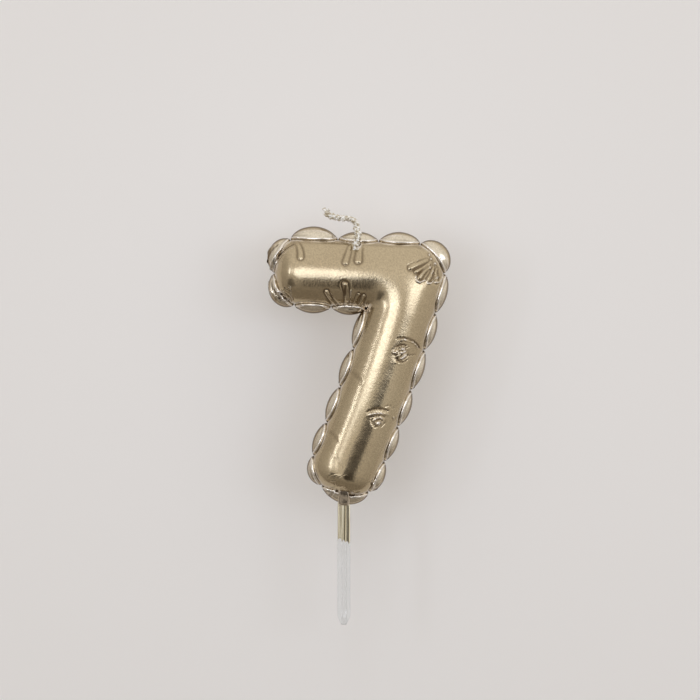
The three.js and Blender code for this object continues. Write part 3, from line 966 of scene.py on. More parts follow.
    def mark_lift(self, flat: Array) -> Array:
        """How far the marks together lift each point of the front.

        Args:
            flat: The front's points (ribs, front, 2).

        Returns:
            Heights (ribs, front).
        """
        lift = np.zeros(flat.shape[0] * flat.shape[1])
        for mark in self.marks:
            lift += mark.height(flat.reshape(-1, 2))
        return lift.reshape(flat.shape[:2])

    def front_painted_shade(self, gap: Array, lift: Array, groove: Array, from_corner: Array) -> Array:
        """How much painted shade each point of the front has.

        It is full where a mark is sunk deep enough, along the lobes' outer rim and at the crease, where shade
        falls.
        Rim and crease shade fade out towards the inner corner, where many ribs meet in one point.

        Args:
            gap: Distances from the crease.
            lift: How far the marks lift the surface.
            groove: The share of the lobe's groove.
            from_corner: Distances from the inner corner.

        Returns:
            Shares from 0 to 1 (ribs, front).
        """
        steps, front = self.front_steps[0], gap.shape[1]
        # Painted shade at the crease and along the lobes' outer rim, faded near the inner corner.
        seam = np.zeros(gap.shape)
        seam[:, steps - 1:steps + 2] = self.crease_painted_shade
        seam[:, front - steps - 2:front - steps + 1] = self.crease_painted_shade[::-1]
        rim = 1 - ramp(self.lobe_width(gap) + gap, self.rim_width, self.rim_width + self.rim_fade)
        seam = np.maximum(seam, rim * self.on_lobe(front)) * ramp(from_corner, *self.dark_from_corner)
        return np.max([seam, ramp(-lift, 0, self.dark_depth), self.groove_shade * groove], axis=0)

    def painted_shade_tone(self, front_painted_shade: Array, around: int) -> Array:
        """The painted shade's share on whole rings: on the back it darkens only rim and crease.

        Args:
            front_painted_shade: Its shares on the front.
            around: How many points a ring has.

        Returns:
            Shares from 0 to 1 (ribs, around).
        """
        front, rim, crease = front_painted_shade.shape[1], len(self.back_rim_painted_shade), self.back_steps[0] - 1
        tone = np.zeros((len(front_painted_shade), around))
        tone[:, :front] = front_painted_shade
        # On the back, painted shade along the rim and at the crease.
        tone[:, front:front + rim] = self.back_rim_painted_shade
        tone[:, -rim:] = self.back_rim_painted_shade[::-1]
        tone[:, front + crease - 1:front + crease + 2] = self.crease_painted_shade
        tone[:, -crease - 2:-crease + 1] = self.crease_painted_shade
        return tone

    def build(self, finish: bpy.types.Material) -> bpy.types.Object:
        """Makes the figure with its marks.

        Args:
            finish: Its material.

        Returns:
            The piece.
        """
        rings, front, on_corner = self.rings()
        flat = rings[:, :front][..., [0, 2]]
        lift = self.mark_lift(flat)
        gap = self.from_crease(flat)
        tube_bead, lobe_bead, groove, line = self.crease_lines(gap)
        height = (lift + self.tube_bead.rise * tube_bead + self.lobe_bead.rise * lobe_bead
                  + self.lobe_line.rise * line + self.lobe_groove.rise * groove)
        points = rings.copy()
        points[:, :front] += self.outward(rings)[:, :front] * height[..., None]
        points, triangles, kept = weld(points.reshape(-1, 3), ring_triangles(*rings.shape[:2]))
        piece = add_piece("wax_figure", Slot.WAX, points, facing_out(points, triangles), [finish])

        from_corner = np.linalg.norm(flat - flat[on_corner][0, -1], axis=-1)
        # Pale colour: wear on raised marks and on the beads, with painted highlights on them, on the lobes'
        # line, and near the inner corner, where it lightens a dark reflection.
        pale = np.zeros(rings.shape[:2])
        pale[:, :front] = np.max([self.pale_mark * ramp(lift, *self.pale_rise), tube_bead, lobe_bead,
                                  self.pale_line * line, 1 - ramp(from_corner, *self.pale_to_corner)], axis=0)
        around = rings.shape[1]
        # Painted shade: dark at creases, lobe rims, sunk marks and grooves.
        painted_shade = self.painted_shade_tone(self.front_painted_shade(gap, lift, groove, from_corner), around)
        # Paler lobes: a painted sheen that fades over their outer front.
        tones = {"painted_shade": painted_shade, "lobe": self.painted_lobe_sheen(gap, around), "pale": pale}
        for name, values in tones.items():
            add_attribute(piece, name, values.reshape(-1)[kept])
        return piece

    def outward(self, rings: Array) -> Array:
        """Directions square to the unmarked surface, turned to the front.

        Each is the cross product of the steps to its neighbours round the ring and along the ribs.

        Args:
            rings: The points (ribs, around, 3).

        Returns:
            Directions of length 1, laid out as the points are.
        """
        along = np.gradient(rings, axis=0)
        around = (np.roll(rings, -1, 1) - np.roll(rings, 1, 1)) / 2
        normal = unit(np.cross(around, along))
        return normal * np.where(normal[..., 1:2] > 0, -1, 1)

    def painted_lobe_sheen(self, gap: Array, around: int) -> Array:
        """How much of the lobes' paler colour, a painted sheen, each point has: all on a lobe, less on its
        outer front.

        Args:
            gap: Distances from the crease on the front.
            around: How many points a ring has.

        Returns:
            Shares from 0 to 1 (ribs, around).
        """
        back, front = self.back_steps[0], gap.shape[1]
        tone = np.zeros((len(gap), around))
        share = -gap / np.maximum(self.lobe_width(gap), 1e-6)
        tone[:, :front] = (1 - self.lobe_sheen_fade * ramp(share, *self.lobe_sheen_fade_range)) * self.on_lobe(front)
        tone[:, front:front + back - 1] = 1
        tone[:, 1 - back:] = 1
        return tone


def smooth_path(knots: Array, steps: int) -> Array:
    """A smooth line through points: in each gap a cubic that runs along the neighbours' chord.

    Args:
        knots: Rows of x, y, z.
        steps: How many points it has in each gap.

    Returns:
        Points of the line.
    """
    padded = np.concatenate([[2 * knots[0] - knots[1]], knots, [2 * knots[-1] - knots[-2]]])
    a, b, c, d = (padded[i:len(padded) - 3 + i, None] for i in range(4))
    t = np.linspace(0, 1, steps, endpoint=False)[None, :, None]
    line = 0.5 * (2 * b + (c - a) * t + (2 * a - 5 * b + 4 * c - d) * t**2 + (3 * b - a - 3 * c + d) * t**3)
    return np.concatenate([line.reshape(-1, 3), knots[-1:]])


@dataclass
class Wick:
    """The twisted wick, from just inside the wax to its hooked tip. Sizes in millimetres."""

    line: FigureLine = field(default_factory=FigureLine)
    along: float = 14.9
    inset: float = 1.95
    tube_depth: float = 13.4
    held: float = 4.0
    shown: float = 18.4
    plies: int = 3
    ply_radius: float = 0.44
    twist_radius: float = 0.42
    foot_swell: float = 0.3
    foot_length: float = 4.0
    pitch: float = 3.6
    frayed_length: float = 1.6
    frayed_spread: float = 0.9
    stagger: float = 0.5
    end_rounding: float = 0.5
    wander: float = 0.08
    lump: float = 0.16
    fine_lump: float = 0.1
    inward: tuple[float, float, float] = (-0.12, 0.28, -0.95)
    knots: tuple[tuple[float, float, float], ...] = (
        (0, 0, 0), (0, -0.5, 0.6), (0.2, -0.9, 1.9), (0.5, -0.5, 3.5), (0.1, 0.2, 4.5), (0.2, 1.3, 5.9),
        (-0.9, 2.1, 7.4), (-1.9, 2.6, 7.8), (-3.7, 3.1, 8), (-5.6, 3.4, 8.3), (-7.7, 3.6, 9.1),
        (-8.3, 3.7, 11.2))
    knot_steps: int = 40
    rings: int = 360
    sides: int = 12

    def mouth(self) -> Array:
        """Where the wick leaves the front of the bar.

        Returns:
            The point x, y, z.
        """
        height = self.line.radius - self.inset
        x, z = self.line.bar_centre(self.along) + height * self.line.bar_up
        y = -self.tube_depth / 2 * math.sqrt(1 - (height / self.line.radius) ** 2)
        return np.array([x, y, z])

    def path(self) -> tuple[Array, Array]:
        """The wick's middle line, from its held end to its tip.

        Returns:
            Evenly spaced points, and the distance travelled at each.
        """
        shown = smooth_path(np.array(self.knots, float), self.knot_steps)
        size = self.shown / np.linalg.norm(np.diff(shown, axis=0), axis=1).sum()
        depth = np.linspace(self.held, 0, self.knot_steps, endpoint=False)[:, None]
        points = self.mouth() + np.concatenate([depth * unit(np.array(self.inward)), shown * size])
        travelled = running_total(np.linalg.norm(np.diff(points, axis=0), axis=1))
        even = np.linspace(0, travelled[-1], self.rings)
        return np.stack([np.interp(even, travelled, column) for column in points.T], -1), even

    def ply(self, number: int) -> tuple[Array, Array]:
        """One ply: a round section carried along a helix about the wick's line, with lumps.

        The helix wanders with a wave and opens at the frayed tip, by a square. The ply's radius varies
        with two waves along it, swells by a bell curve where it leaves the wax, and fades to nothing at
        both ends, by the root of one minus a square, so that it is closed there.

        Args:
            number: Which ply it is.

        Returns:
            Points and triangles.
        """
        path, travelled = self.path()
        tangent = unit(np.gradient(path, axis=0))
        side = unit(np.cross(tangent, [0.0, 1.0, 0.0]))
        up = np.cross(side, tangent)
        phase = 2 * math.pi * number / self.plies
        turn = 2 * math.pi * travelled / self.pitch + phase
        end = travelled[-1] - self.stagger * number
        loose = 1 + self.frayed_spread * ramp(travelled, end - self.frayed_length, end) ** 2
        radius = self.twist_radius * loose + self.wander * np.sin(2.9 * travelled + 2 * phase)
        centre = path + radius[:, None] * (np.cos(turn)[:, None] * side + np.sin(turn)[:, None] * up)
        lumps = 1 + self.lump * np.sin(4.1 * travelled + 3 * phase)
        lumps += self.fine_lump * np.sin(9.7 * travelled + phase)
        from_end = ramp(np.minimum(travelled, end - travelled), 0, self.end_rounding)
        foot = 1 + self.foot_swell * bell(travelled, self.held, self.foot_length)
        thick = self.ply_radius * foot * lumps * np.sqrt(1 - (1 - from_end) ** 2)
        angle = np.linspace(0, 2 * math.pi, self.sides, endpoint=False)
        spoke = np.cos(angle)[None, :, None] * side[:, None] + np.sin(angle)[None, :, None] * up[:, None]
        points = centre[:, None] + thick[:, None, None] * spoke
        kept = travelled <= end
        tip = np.broadcast_to(centre[kept][-1:, None], (1, self.sides, 3))
        points = np.concatenate([points[kept], tip])
        return weld(points.reshape(-1, 3), ring_triangles(*points.shape[:2]))[:2]

    def build(self, finish: bpy.types.Material) -> bpy.types.Object:
        """Makes the plies as one piece.

        Args:
            finish: Their material.

        Returns:
            The piece.
        """
        shells = [self.ply(number) for number in range(self.plies)]
        return add_piece("wick_plies", Slot.WICK, *joined(shells), [finish])


def joined(shells: list[tuple[Array, Array]]) -> tuple[Array, Array]:
    """Puts closed shells into one list of points and one of triangles, each facing out.

    Args:
        shells: Points and triangles of each shell.

    Returns:
        Points and triangles of them all.
    """
    starts = np.cumsum([0, *(len(points) for points, _ in shells[:-1])])
    points = np.concatenate([points for points, _ in shells])
    triangles = [facing_out(points, triangles) + start for (points, triangles), start in zip(shells, starts)]
    return points, np.concatenate(triangles)


@dataclass
class CakePick:
    """The clear pick, a rod with a cross section, blunt at its tip and gold at its neck. Millimetres."""

    width: float = 3.4
    rib: float = 1.2
    shown: float = 32.2
    held: float = 18.0
    point: float = 2.2
    flat: float = 1.3
    fillet: float = 0.1
    crown: float = 0.52
    fillet_share: float = 0.9
    least_fillet: float = 0.01
    neck_end: float = 22.5
    neck_slant: float = -0.43
    edge_half: float = 1.8
    ragged: tuple[float, float] = (0.25, 0.2)
    corner_steps: int = 9
    ring_counts: tuple[int, int, int, int] = (12, 12, 25, 16)

    def heights(self) -> Array:
        """Heights of the rings: close together at the point and where the gold ends.

        Returns:
            The heights, the first and the last twice, for the rings that close on the axis.
        """
        point_rings, rod_rings, edge_rings, neck_rings = self.ring_counts
        point = np.linspace(0, self.point, point_rings)
        rod = np.linspace(self.point, self.neck_end - self.edge_half, rod_rings)[1:]
        edge = np.linspace(rod[-1], self.neck_end + self.edge_half, edge_rings)[1:]
        neck = np.linspace(edge[-1], self.shown + self.held, neck_rings)[1:]
        return np.concatenate([[0], point, rod, edge, neck, neck[-1:]])

    def build(self, clear: bpy.types.Material, gold: bpy.types.Material) -> bpy.types.Object:
        """Carries the cross section up the rod.

        Each corner is a short curve with the corner as its control point, tight between the ribs and
        wide on their crowns. Towards the tip the ribs get shorter in a straight line, and the first and
        last ring close on the axis. The gold ends on a slant, made ragged by two waves.

        Args:
            clear: The material of the plastic.
            gold: The material of the neck's coat.

        Returns:
            The piece.
        """
        height = self.heights()
        reach = np.minimum(self.width, self.flat + (self.width - self.flat) * height / self.point) / 2
        near = np.full_like(reach, self.rib / 2)
        corner = np.stack([np.stack(pair, -1) for pair in ((near, reach), (near, near), (reach, near))], 1)
        inward = np.array([(1, 0), (0, -1), (1, 0)], float)
        onward = np.array([(0, -1), (1, 0), (0, -1)], float)
        widest = np.minimum(self.fillet_share * near, (reach - near) / 2 + self.least_fillet)[:, None]
        fillet = np.minimum([self.crown, self.fillet, self.crown], widest)[:, :, None, None]
        t = np.linspace(0, 1, self.corner_steps)[None, None, :, None]
        corner = corner[:, :, None]
        curve = ((1 - t) ** 2 * (corner - fillet * inward[None, :, None]) + 2 * t * (1 - t) * corner
                 + t**2 * (corner + fillet * onward[None, :, None]))
        quarter = curve.reshape(len(height), -1, 2)
        x, y = quarter[..., 0], quarter[..., 1]
        around = np.concatenate([np.stack(pair, -1) for pair in ((x, y), (y, -x), (-x, -y), (-y, x))], 1)
        around[[0, -1]] = 0
        points = np.concatenate([around, np.broadcast_to(height[:, None, None], (*around.shape[:2], 1))], -1)
        points, triangles, _ = weld(points.reshape(-1, 3), ring_triangles(*points.shape[:2]))
        triangles = facing_out(points, triangles)
        piece = add_piece("pick_rod", Slot.PICK, points, triangles, [clear, gold])
        middle = points[triangles].mean(1)
        ragged = self.ragged[0] * np.sin(7 * middle[:, 0] + 2) + self.ragged[1] * np.sin(11 * middle[:, 1])
        gilded = middle[:, 2] > self.neck_end + self.neck_slant * middle[:, 0] + ragged
        piece.data.polygons.foreach_set("material_index", gilded.astype(np.int32))
        return piece


@dataclass
class WaxCollar:
    """The thin skin of wax round the top of the pick. Millimetres."""

    bottom: float = 32.2
    height: float = 4.4
    half_width: float = 1.62
    half_depth: float = 2.6
    front_flare: float = 1.0
    squareness: float = 6.0
    rim_draw: float = 0.1
    rim_fade: float = 30.0
    unevenness: tuple[float, float] = (0.018, 0.012)
    wavy_edge: float = 0.12
    # The collar's even share of the painted shade.
    painted_shade: float = 0.1
    # The collar's even share of the pale colour, which on the figure also carries painted highlights.
    pale: float = 0.4
    rings: int = 24
    sides: int = 96

    def build(self, finish: bpy.types.Material) -> bpy.types.Object:
        """Carries a rounded square up from the collar's lower edge into the foot.

        The section is a superellipse. It gets deeper towards its top, so that it stands before the
        seam, is drawn in at its lower rim and is a little uneven all round, by two waves. Its lower
        edge is a wave too, which dies away upwards.

        Args:
            finish: Its material.

        Returns:
            The piece.
        """
        share = np.linspace(0, 1, self.rings)[:, None]
        angle = np.linspace(0, 2 * math.pi, self.sides, endpoint=False)[None, :]
        power = 2 / self.squareness
        rim = 1 - self.rim_draw * np.exp(-share * self.rim_fade)
        uneven = 1 + self.unevenness[0] * np.sin(3 * angle + 9 * share)
        uneven += self.unevenness[1] * np.sin(7 * angle - 5 * share)
        wide = self.half_width * rim * uneven
        deep = self.half_depth * rim * uneven + self.front_flare * np.sin(share * math.pi / 2)
        x = wide * np.sign(np.cos(angle)) * np.abs(np.cos(angle)) ** power
        y = deep * np.sign(np.sin(angle)) * np.abs(np.sin(angle)) ** power
        z = self.bottom + self.height * share + self.wavy_edge * np.sin(2 * angle + 1) * (1 - share)
        wall = np.stack([x, y, z], -1)
        ends = [np.broadcast_to([0, 0, ring[:, 2].mean()], (1, *ring.shape)) for ring in (wall[0], wall[-1])]
        points = np.concatenate([ends[0], wall, ends[1]])
        points, triangles, _ = weld(points.reshape(-1, 3), ring_triangles(*points.shape[:2]))
        triangles = facing_out(points, triangles)
        piece = add_piece("wax_collar", Slot.WAX, points, triangles, [finish])
        for name, value in (("painted_shade", self.painted_shade), ("lobe", 0.0), ("pale", self.pale)):
            add_attribute(piece, name, np.full(len(points), value))
        return piece


class NodeSheet:
    """Makes the nodes of a material or of the world with short calls."""

    def __init__(self, owner: bpy.types.Material | bpy.types.World, shader: str = "Principled BSDF") -> None:
        """Switches the owner's nodes on.

        Args:
            owner: A new material or world.
            shader: The name of the shader node that it starts with.
        """
        owner.use_nodes = True
        self.owner = owner
        self.tree = owner.node_tree
        self.shader = self.tree.nodes[shader]

    def node(self, kind: str, **settings: object) -> bpy.types.Node:
        """Adds a node. Settings in capitals are its properties, and the others are its sockets' values.

        Args:
            kind: The node's type.
            **settings: Properties in capitals, sockets with their spaces as underscores.

        Returns:
            The node.
        """
        made = self.tree.nodes.new(kind)
        for key, value in settings.items():
            if key.isupper():
                setattr(made, key.lower(), value)
            else:
                made.inputs[key.replace("_", " ")].default_value = value
        return made

    def link(self, source: bpy.types.NodeSocket, target: bpy.types.NodeSocket) -> None:
        """Joins an output to an input."""
        self.tree.links.new(source, target)

    def set(self, **values: object) -> None:
        """Sets sockets of the shader, named with their spaces as underscores."""
        for key, value in values.items():
            self.shader.inputs[key.replace("_", " ")].default_value = value

    def noise(self, size: float, detail: float = 2.0, stretch: float = 1.0) -> bpy.types.NodeSocket:
        """Noise on Object coordinates.

        Args:
            size: The size of its spots in millimetres.
            detail: How many finer layers it has.
            stretch: How many times longer its spots are along z.

        Returns:
            Its value, about 0.5 on the whole.
        """
        place = self.node("ShaderNodeTexCoord").outputs["Object"]
        if stretch != 1:
            mapping = self.node("ShaderNodeMapping", Scale=(1, 1, 1 / stretch))
            self.link(place, mapping.inputs["Vector"])
            place = mapping.outputs["Vector"]
        made = self.node("ShaderNodeTexNoise", Scale=1 / (size * MM), Detail=detail)
        self.link(place, made.inputs["Vector"])
        return made.outputs["Fac"]

    def attribute(self, name: str) -> bpy.types.NodeSocket:
        """The value of a point attribute."""
        return self.node("ShaderNodeAttribute", ATTRIBUTE_NAME=name).outputs["Fac"]

    def ranged(self, value: bpy.types.NodeSocket, low: float, high: float, to_low: float = 0.0,
               to_high: float = 1.0) -> bpy.types.NodeSocket:
        """Maps a value from one range to another, and holds it there.

        Args:
            value: The value.
            low: Where its range starts.
            high: Where its range ends.
            to_low: What the start becomes.
            to_high: What the end becomes.

        Returns:
            The mapped value.
        """
        made = self.node("ShaderNodeMapRange")
        for number, bound in enumerate((low, high, to_low, to_high), 1):
            made.inputs[number].default_value = bound
        self.link(value, made.inputs[0])
        return made.outputs[0]

    def mixed(self, share: bpy.types.NodeSocket, first: object, second: object) -> bpy.types.NodeSocket:
        """Mixes two colours.

        Args:
            share: How much of the second there is.
            first: A colour or a socket.
            second: A colour or a socket.

        Returns:
            The mixed colour.
        """
        made = self.node("ShaderNodeMix", DATA_TYPE="RGBA")
        self.link(share, made.inputs["Factor"])
        for number, colour in ((6, first), (7, second)):
            if isinstance(colour, bpy.types.NodeSocket):
                self.link(colour, made.inputs[number])
            else:
                made.inputs[number].default_value = (*colour, 1)
        return made.outputs[2]

    def shaded(self, colour: bpy.types.NodeSocket, shade: bpy.types.NodeSocket) -> bpy.types.NodeSocket:
        """Multiplies a colour by a number.

        Args:
            colour: The colour.
            shade: The number.

        Returns:
            The shaded colour.
        """
        made = self.node("ShaderNodeMix", DATA_TYPE="RGBA", BLEND_TYPE="MULTIPLY")
        made.inputs["Factor"].default_value = 1.0
        self.link(colour, made.inputs[6])
        self.link(shade, made.inputs[7])
        return made.outputs[2]

    def maths(self, operation: str, first: object, second: object) -> bpy.types.NodeSocket:
        """Works out one number from two.

        Args:
            operation: What is done with them, as the node calls it.
            first: A number or a socket.
            second: A number or a socket.

        Returns:
            The result.
        """
        made = self.node("ShaderNodeMath", OPERATION=operation)
        for number, value in enumerate((first, second)):
            if isinstance(value, bpy.types.NodeSocket):
                self.link(value, made.inputs[number])
            else:
                made.inputs[number].default_value = value
        return made.outputs[0]

    def bump(self, height: bpy.types.NodeSocket, depth: float,
             under: bpy.types.NodeSocket | None = None) -> bpy.types.NodeSocket:
        """Roughens the surface by a height.

        Args:
            height: A value from 0 to 1.
            depth: How many millimetres 1 stands for.
            under: Another bump that this one adds to.

        Returns:
            The normal.
        """
        made = self.node("ShaderNodeBump", Distance=depth * MM)
        self.link(height, made.inputs["Height"])
        if under is not None:
            self.link(under, made.inputs["Normal"])
        return made.outputs["Normal"]


Colour = tuple[float, float, float]
# The stretches of a noise's values that a finish makes use of.
NOISE_RANGE = (0.35, 0.65)
WIDE_NOISE_RANGE = (0.3, 0.7)


@dataclass(frozen=True)
class ChampagneCoat:
    """The satin metallised coat of the wax: a fine grain and slow waves, a painted sheen on the lobes,
    painted shade in creases, rims and sunk marks, and a pale colour for wear and painted highlights.
    Millimetres.
    """

    name: str = "champagne_coat"
    light: Colour = (0.51, 0.415, 0.27)
    dark: Colour = (0.47, 0.375, 0.24)
    # The lobes' paler colour, a painted sheen.
    lobe: Colour = (0.74, 0.66, 0.52)
    # The colour of the painted shade in creases, rims and sunk marks.
    painted_shade: Colour = (0.17, 0.12, 0.07)
    # The pale colour of wear and of painted highlights.
    pale: Colour = (0.86, 0.80, 0.74)
    pale_share: float = 0.75
    cloud: float = 14.0
    satin: float = 1.6
    roughness: tuple[float, float] = (0.18, 0.22)
    lobe_roughness: float = -0.05
    grain: float = 0.5
    grain_depth: float = 0.023
    speck: float = 0.42
    speck_shades: tuple[float, float] = (0.9, 1.08)
    wave: float = 5.0
    wave_depth: float = 0.05

    def make(self) -> bpy.types.Material:
        """Builds the material.

        Returns:
            The material.
        """
        sheet = NodeSheet(bpy.data.materials.new(self.name))
        tone = sheet.ranged(sheet.noise(self.cloud, 1.0), *NOISE_RANGE)
        coat = sheet.mixed(tone, self.light, self.dark)
        # Paler lobes: a painted sheen.
        coat = sheet.mixed(sheet.attribute("lobe"), coat, self.lobe)
        # Painted shade: the dark colour at creases, rims and sunk marks.
        coat = sheet.mixed(sheet.attribute("painted_shade"), coat, self.painted_shade)
        # Pale colour: wear, and painted highlights on marks, beads, the lobes' line and the inner corner.
        pale = sheet.maths("MULTIPLY", sheet.attribute("pale"), self.pale_share)
        coat = sheet.mixed(pale, coat, self.pale)
        coat = sheet.shaded(coat, sheet.ranged(sheet.noise(self.speck), *NOISE_RANGE, *self.speck_shades))
        sheet.link(coat, sheet.shader.inputs["Base Color"])
        satin = sheet.ranged(sheet.noise(self.satin), *WIDE_NOISE_RANGE, *self.roughness)
        more = sheet.maths("MULTIPLY", sheet.attribute("lobe"), self.lobe_roughness)
        sheet.link(sheet.maths("ADD", satin, more), sheet.shader.inputs["Roughness"])
        waves = sheet.bump(sheet.noise(self.wave, 1.0), self.wave_depth)
        grain = sheet.bump(sheet.noise(self.grain, 3.0), self.grain_depth, waves)
        sheet.link(grain, sheet.shader.inputs["Normal"])
        sheet.set(Metallic=1.0)
        return sheet.owner


@dataclass(frozen=True)
class CoatedCotton:
    """Waxed cotton with flecks of the coat. Millimetres."""

    name: str = "coated_cotton"
    fibre: Colour = (0.95, 0.93, 0.88)
    fleck: Colour = (0.62, 0.55, 0.42)
    fleck_size: float = 0.7
    fleck_range: tuple[float, float] = (0.42, 0.58)
    metal: tuple[float, float] = (0.2, 0.8)
    fuzz: float = 0.16
    fuzz_depth: float = 0.05
    roughness: float = 0.32

    def make(self) -> bpy.types.Material:
        """Builds the material.

        Returns:
            The material.
        """
        sheet = NodeSheet(bpy.data.materials.new(self.name))
        flecks = sheet.ranged(sheet.noise(self.fleck_size), *self.fleck_range)
        sheet.link(sheet.mixed(flecks, self.fibre, self.fleck), sheet.shader.inputs["Base Color"])
        sheet.link(sheet.ranged(flecks, 0.0, 1.0, *self.metal), sheet.shader.inputs["Metallic"])
        sheet.link(sheet.bump(sheet.noise(self.fuzz, 3.0), self.fuzz_depth), sheet.shader.inputs["Normal"])
        sheet.set(Roughness=self.roughness)
        return sheet.owner


@dataclass(frozen=True)
class ClearPlastic:
    """Clear moulded plastic, a little uneven. Millimetres."""

    name: str = "clear_plastic"
    tint: Colour = (0.95, 0.97, 0.98)
    ior: float = 1.58
    haze: float = 4.0
    roughness: tuple[float, float] = (0.02, 0.09)
    ripple: float = 1.5
    ripple_depth: float = 0.01

    def make(self) -> bpy.types.Material:
        """Builds the material.

        Returns:
            The material.
        """
        sheet = NodeSheet(bpy.data.materials.new(self.name))
        sheet.set(Base_Color=(*self.tint, 1), Transmission_Weight=1.0, IOR=self.ior)
        haze = sheet.ranged(sheet.noise(self.haze), *WIDE_NOISE_RANGE, *self.roughness)
        sheet.link(haze, sheet.shader.inputs["Roughness"])
        ripple = sheet.bump(sheet.noise(self.ripple, 1.0), self.ripple_depth)
        sheet.link(ripple, sheet.shader.inputs["Normal"])
        return sheet.owner


@dataclass(frozen=True)
class NeckCoat:
    """The coat on the pick's neck, with dark streaks along it. Millimetres."""

    name: str = "neck_coat"
    colour: Colour = (0.88, 0.82, 0.64)
    streak: Colour = (0.42, 0.35, 0.22)
    streak_width: float = 0.65
    streak_stretch: float = 25.0
    streak_range: tuple[float, float] = (0.4, 0.62)
    grain: float = 0.5
    grain_depth: float = 0.01
    roughness: float = 0.22

    def make(self) -> bpy.types.Material:
        """Builds the material.

        Returns:
            The material.
        """
        sheet = NodeSheet(bpy.data.materials.new(self.name))
        streaks = sheet.ranged(sheet.noise(self.streak_width, 1.0, self.streak_stretch), *self.streak_range)
        sheet.link(sheet.mixed(streaks, self.colour, self.streak), sheet.shader.inputs["Base Color"])
        sheet.link(sheet.bump(sheet.noise(self.grain), self.grain_depth), sheet.shader.inputs["Normal"])
        sheet.set(Metallic=1.0, Roughness=self.roughness)
        return sheet.owner


@dataclass(frozen=True)
class Panel:
    """An even panel that faces the figure's middle, given by the angles that it fills.

    Attributes:
        name: Its name.
        azimuth: Degrees to the right of the camera, seen from the figure.
        elevation: Degrees over the horizon.
        half_width: Degrees from its middle to its side.
        half_height: Degrees from its middle to its top.
        glow: How bright a lamp looks, where 1 is white. On a dark card it is added to the card's colour.
        distance: How far from the figure's middle it stands, in millimetres.
    """

    name: str
    azimuth: float
    elevation: float
    half_width: float
    half_height: float
    glow: float
    distance: float = 560.0


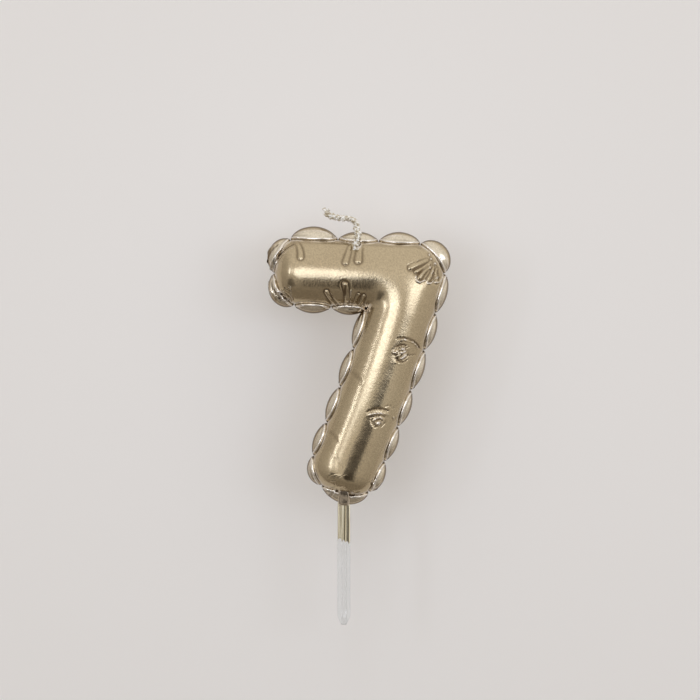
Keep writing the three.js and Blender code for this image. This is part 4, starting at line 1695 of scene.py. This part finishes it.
@dataclass
class Studio:
    """The pale ground behind the figure, its lamps, the dark cards and the camera. Millimetres."""

    lamp_colour: Colour = (0.82, 0.905, 1.08)
    ground_colour: Colour = (0.94, 0.91, 0.88)
    ground_depth: float = 26.0
    ground_size: float = 440.0
    high_light: Colour = (0.94, 0.92, 0.90)
    low_light: Colour = (0.31, 0.28, 0.25)
    light_range: tuple[float, float] = (-0.8, 0.1)
    left_range: tuple[float, float] = (-0.95, -0.35)
    left_share: float = 0.4
    card_colour: Colour = (0.05, 0.04, 0.03)
    lens: float = 85.0
    sensor: float = 36.0
    view_width: float = 188.17
    view_centre: tuple[float, float] = (1.64, 73.66)
    figure_middle: tuple[float, float, float] = (5.0, 0.0, 70.0)
    lamps: tuple[Panel, ...] = (
        Panel("key", -24.5, 5.5, 4.5, 9.0, 1.1),
        Panel("key_edge", -41.0, 5.0, 2.5, 9.0, 4.4),
        Panel("fill", 29.0, 4.5, 15.0, 8.0, 1.75),
        Panel("bridge", -10.8, 11.0, 11.3, 12.5, 1.65, 100.0),
    )
    dark_cards: tuple[Panel, ...] = (
        Panel("dark_card", 12.0, -22.0, 15.0, 18.0, 0.0),
        Panel("left_dark_card", -36.0, -28.0, 15.0, 10.0, 0.1),
    )

    def staged_plane(self, name: str, corners: Array) -> tuple[bpy.types.Object, NodeSheet]:
        """Adds a flat four-cornered piece of the surroundings with a material of its own.

        Args:
            name: Its name, and its material's.
            corners: Rows of x, y, z in metres.

        Returns:
            The object and the nodes of its material.
        """
        mesh = bpy.data.meshes.new(name)
        mesh.from_pydata(corners.tolist(), [], [(0, 1, 2, 3)])
        plane = bpy.data.objects.new(name, mesh)
        bpy.context.scene.collection.objects.link(plane)
        sheet = NodeSheet(bpy.data.materials.new(name))
        mesh.materials.append(sheet.owner)
        return plane, sheet

    def add_ground(self) -> None:
        """Adds the pale ground just behind the figure, which can't be seen from behind."""
        x, z = SQUARE.T * self.ground_size
        points = np.stack([x, np.full(len(x), self.ground_depth), z + self.view_centre[1]], -1) * MM
        _, sheet = self.staged_plane("ground", points)
        sheet.set(Base_Color=(*self.ground_colour, 1), Roughness=0.9)
        clear = sheet.node("ShaderNodeBsdfTransparent")
        mix = sheet.node("ShaderNodeMixShader")
        sheet.link(sheet.node("ShaderNodeNewGeometry").outputs["Backfacing"], mix.inputs["Fac"])
        sheet.link(sheet.shader.outputs[0], mix.inputs[1])
        sheet.link(clear.outputs[0], mix.inputs[2])
        sheet.link(mix.outputs[0], sheet.tree.nodes["Material Output"].inputs["Surface"])

    def add_world(self) -> None:
        """Fills the surroundings with pale light that falls off smoothly to the left and downwards."""
        sheet = NodeSheet(bpy.data.worlds.new("surroundings"), "Background")
        split = sheet.node("ShaderNodeSeparateXYZ")
        sheet.link(sheet.node("ShaderNodeTexCoord").outputs["Generated"], split.inputs[0])
        high = sheet.ranged(split.outputs["Z"], *self.light_range)
        right = sheet.ranged(split.outputs["X"], *self.left_range, self.left_share)
        share = sheet.maths("MULTIPLY", high, right)
        sheet.link(sheet.mixed(share, self.low_light, self.high_light), sheet.shader.inputs["Color"])
        bpy.context.scene.world = sheet.owner

    def placed(self, panel: Panel) -> tuple[Array, tuple[float, float, float], Array]:
        """Where a panel stands, how it is turned and how large it is.

        Args:
            panel: The panel.

        Returns:
            Its place in metres, its turns in radians, and its width and height in metres.
        """
        azimuth, elevation = math.radians(panel.azimuth), math.radians(panel.elevation)
        away = np.array([math.sin(azimuth) * math.cos(elevation), -math.cos(azimuth) * math.cos(elevation),
                         math.sin(elevation)])
        place = (np.array(self.figure_middle) + away * panel.distance) * MM
        size = 2 * panel.distance * MM * np.tan(np.radians([panel.half_width, panel.half_height]))
        return place, (math.pi / 2 - elevation, 0, azimuth), size

    def add_lamp(self, panel: Panel) -> None:
        """Adds a lamp.

        Args:
            panel: Its place, size and glow.
        """
        data = bpy.data.lights.new(panel.name, "AREA")
        data.shape = "ELLIPSE"
        place, turn, (data.size, data.size_y) = self.placed(panel)
        data.energy = math.pi * panel.glow * data.size * data.size_y
        data.color = self.lamp_colour
        lamp = bpy.data.objects.new(panel.name, data)
        lamp.location, lamp.rotation_euler = place, turn
        lamp.visible_camera = False
        bpy.context.scene.collection.objects.link(lamp)

    def add_dark_card(self, panel: Panel) -> None:
        """Adds a dark card, which only shows as a reflection.

        Args:
            panel: Its place and size.
        """
        place, turn, size = self.placed(panel)
        card, sheet = self.staged_plane(panel.name, np.pad(SQUARE * size, ((0, 0), (0, 1))))
        card.location, card.rotation_euler = place, turn
        card.visible_camera = False
        sheet.set(Base_Color=(*(channel + panel.glow for channel in self.card_colour), 1), Roughness=1.0)

    def add_camera(self) -> None:
        """Adds the camera square to the figure, as far off as its lens needs for the view's width."""
        data = bpy.data.cameras.new("camera")
        data.lens, data.sensor_width = self.lens, self.sensor
        camera = bpy.data.objects.new("camera", data)
        distance = self.view_width * self.lens / self.sensor
        x, z = self.view_centre
        camera.location = (x * MM, -distance * MM, z * MM)
        camera.rotation_euler = (math.pi / 2, 0, 0)
        bpy.context.scene.collection.objects.link(camera)
        bpy.context.scene.camera = camera

    def build(self) -> None:
        """Adds everything."""
        self.add_camera()
        self.add_ground()
        self.add_world()
        for panel in self.dark_cards:
            self.add_dark_card(panel)
        for lamp in self.lamps:
            self.add_lamp(lamp)
        bpy.context.scene.view_settings.view_transform = "Standard"


def report(piece: bpy.types.Object) -> None:
    """Logs a piece's name and its number of triangles."""
    log.info("%s: %d triangles", piece.name, len(piece.data.polygons))


def main() -> None:
    """Builds the candle and its surroundings."""
    logging.basicConfig(level=logging.INFO, format="%(name)s: %(message)s")
    Studio().build()
    coat = ChampagneCoat().make()
    figure = WaxFigure().build(coat)
    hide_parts("wax_body")
    report(figure)
    report(WaxCollar().build(coat))
    wick = Wick().build(CoatedCotton().make())
    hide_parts("wick")
    report(wick)
    pick = CakePick().build(ClearPlastic().make(), NeckCoat().make())
    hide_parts("cake_pick")
    report(pick)


if __name__ == "__main__":
    main()
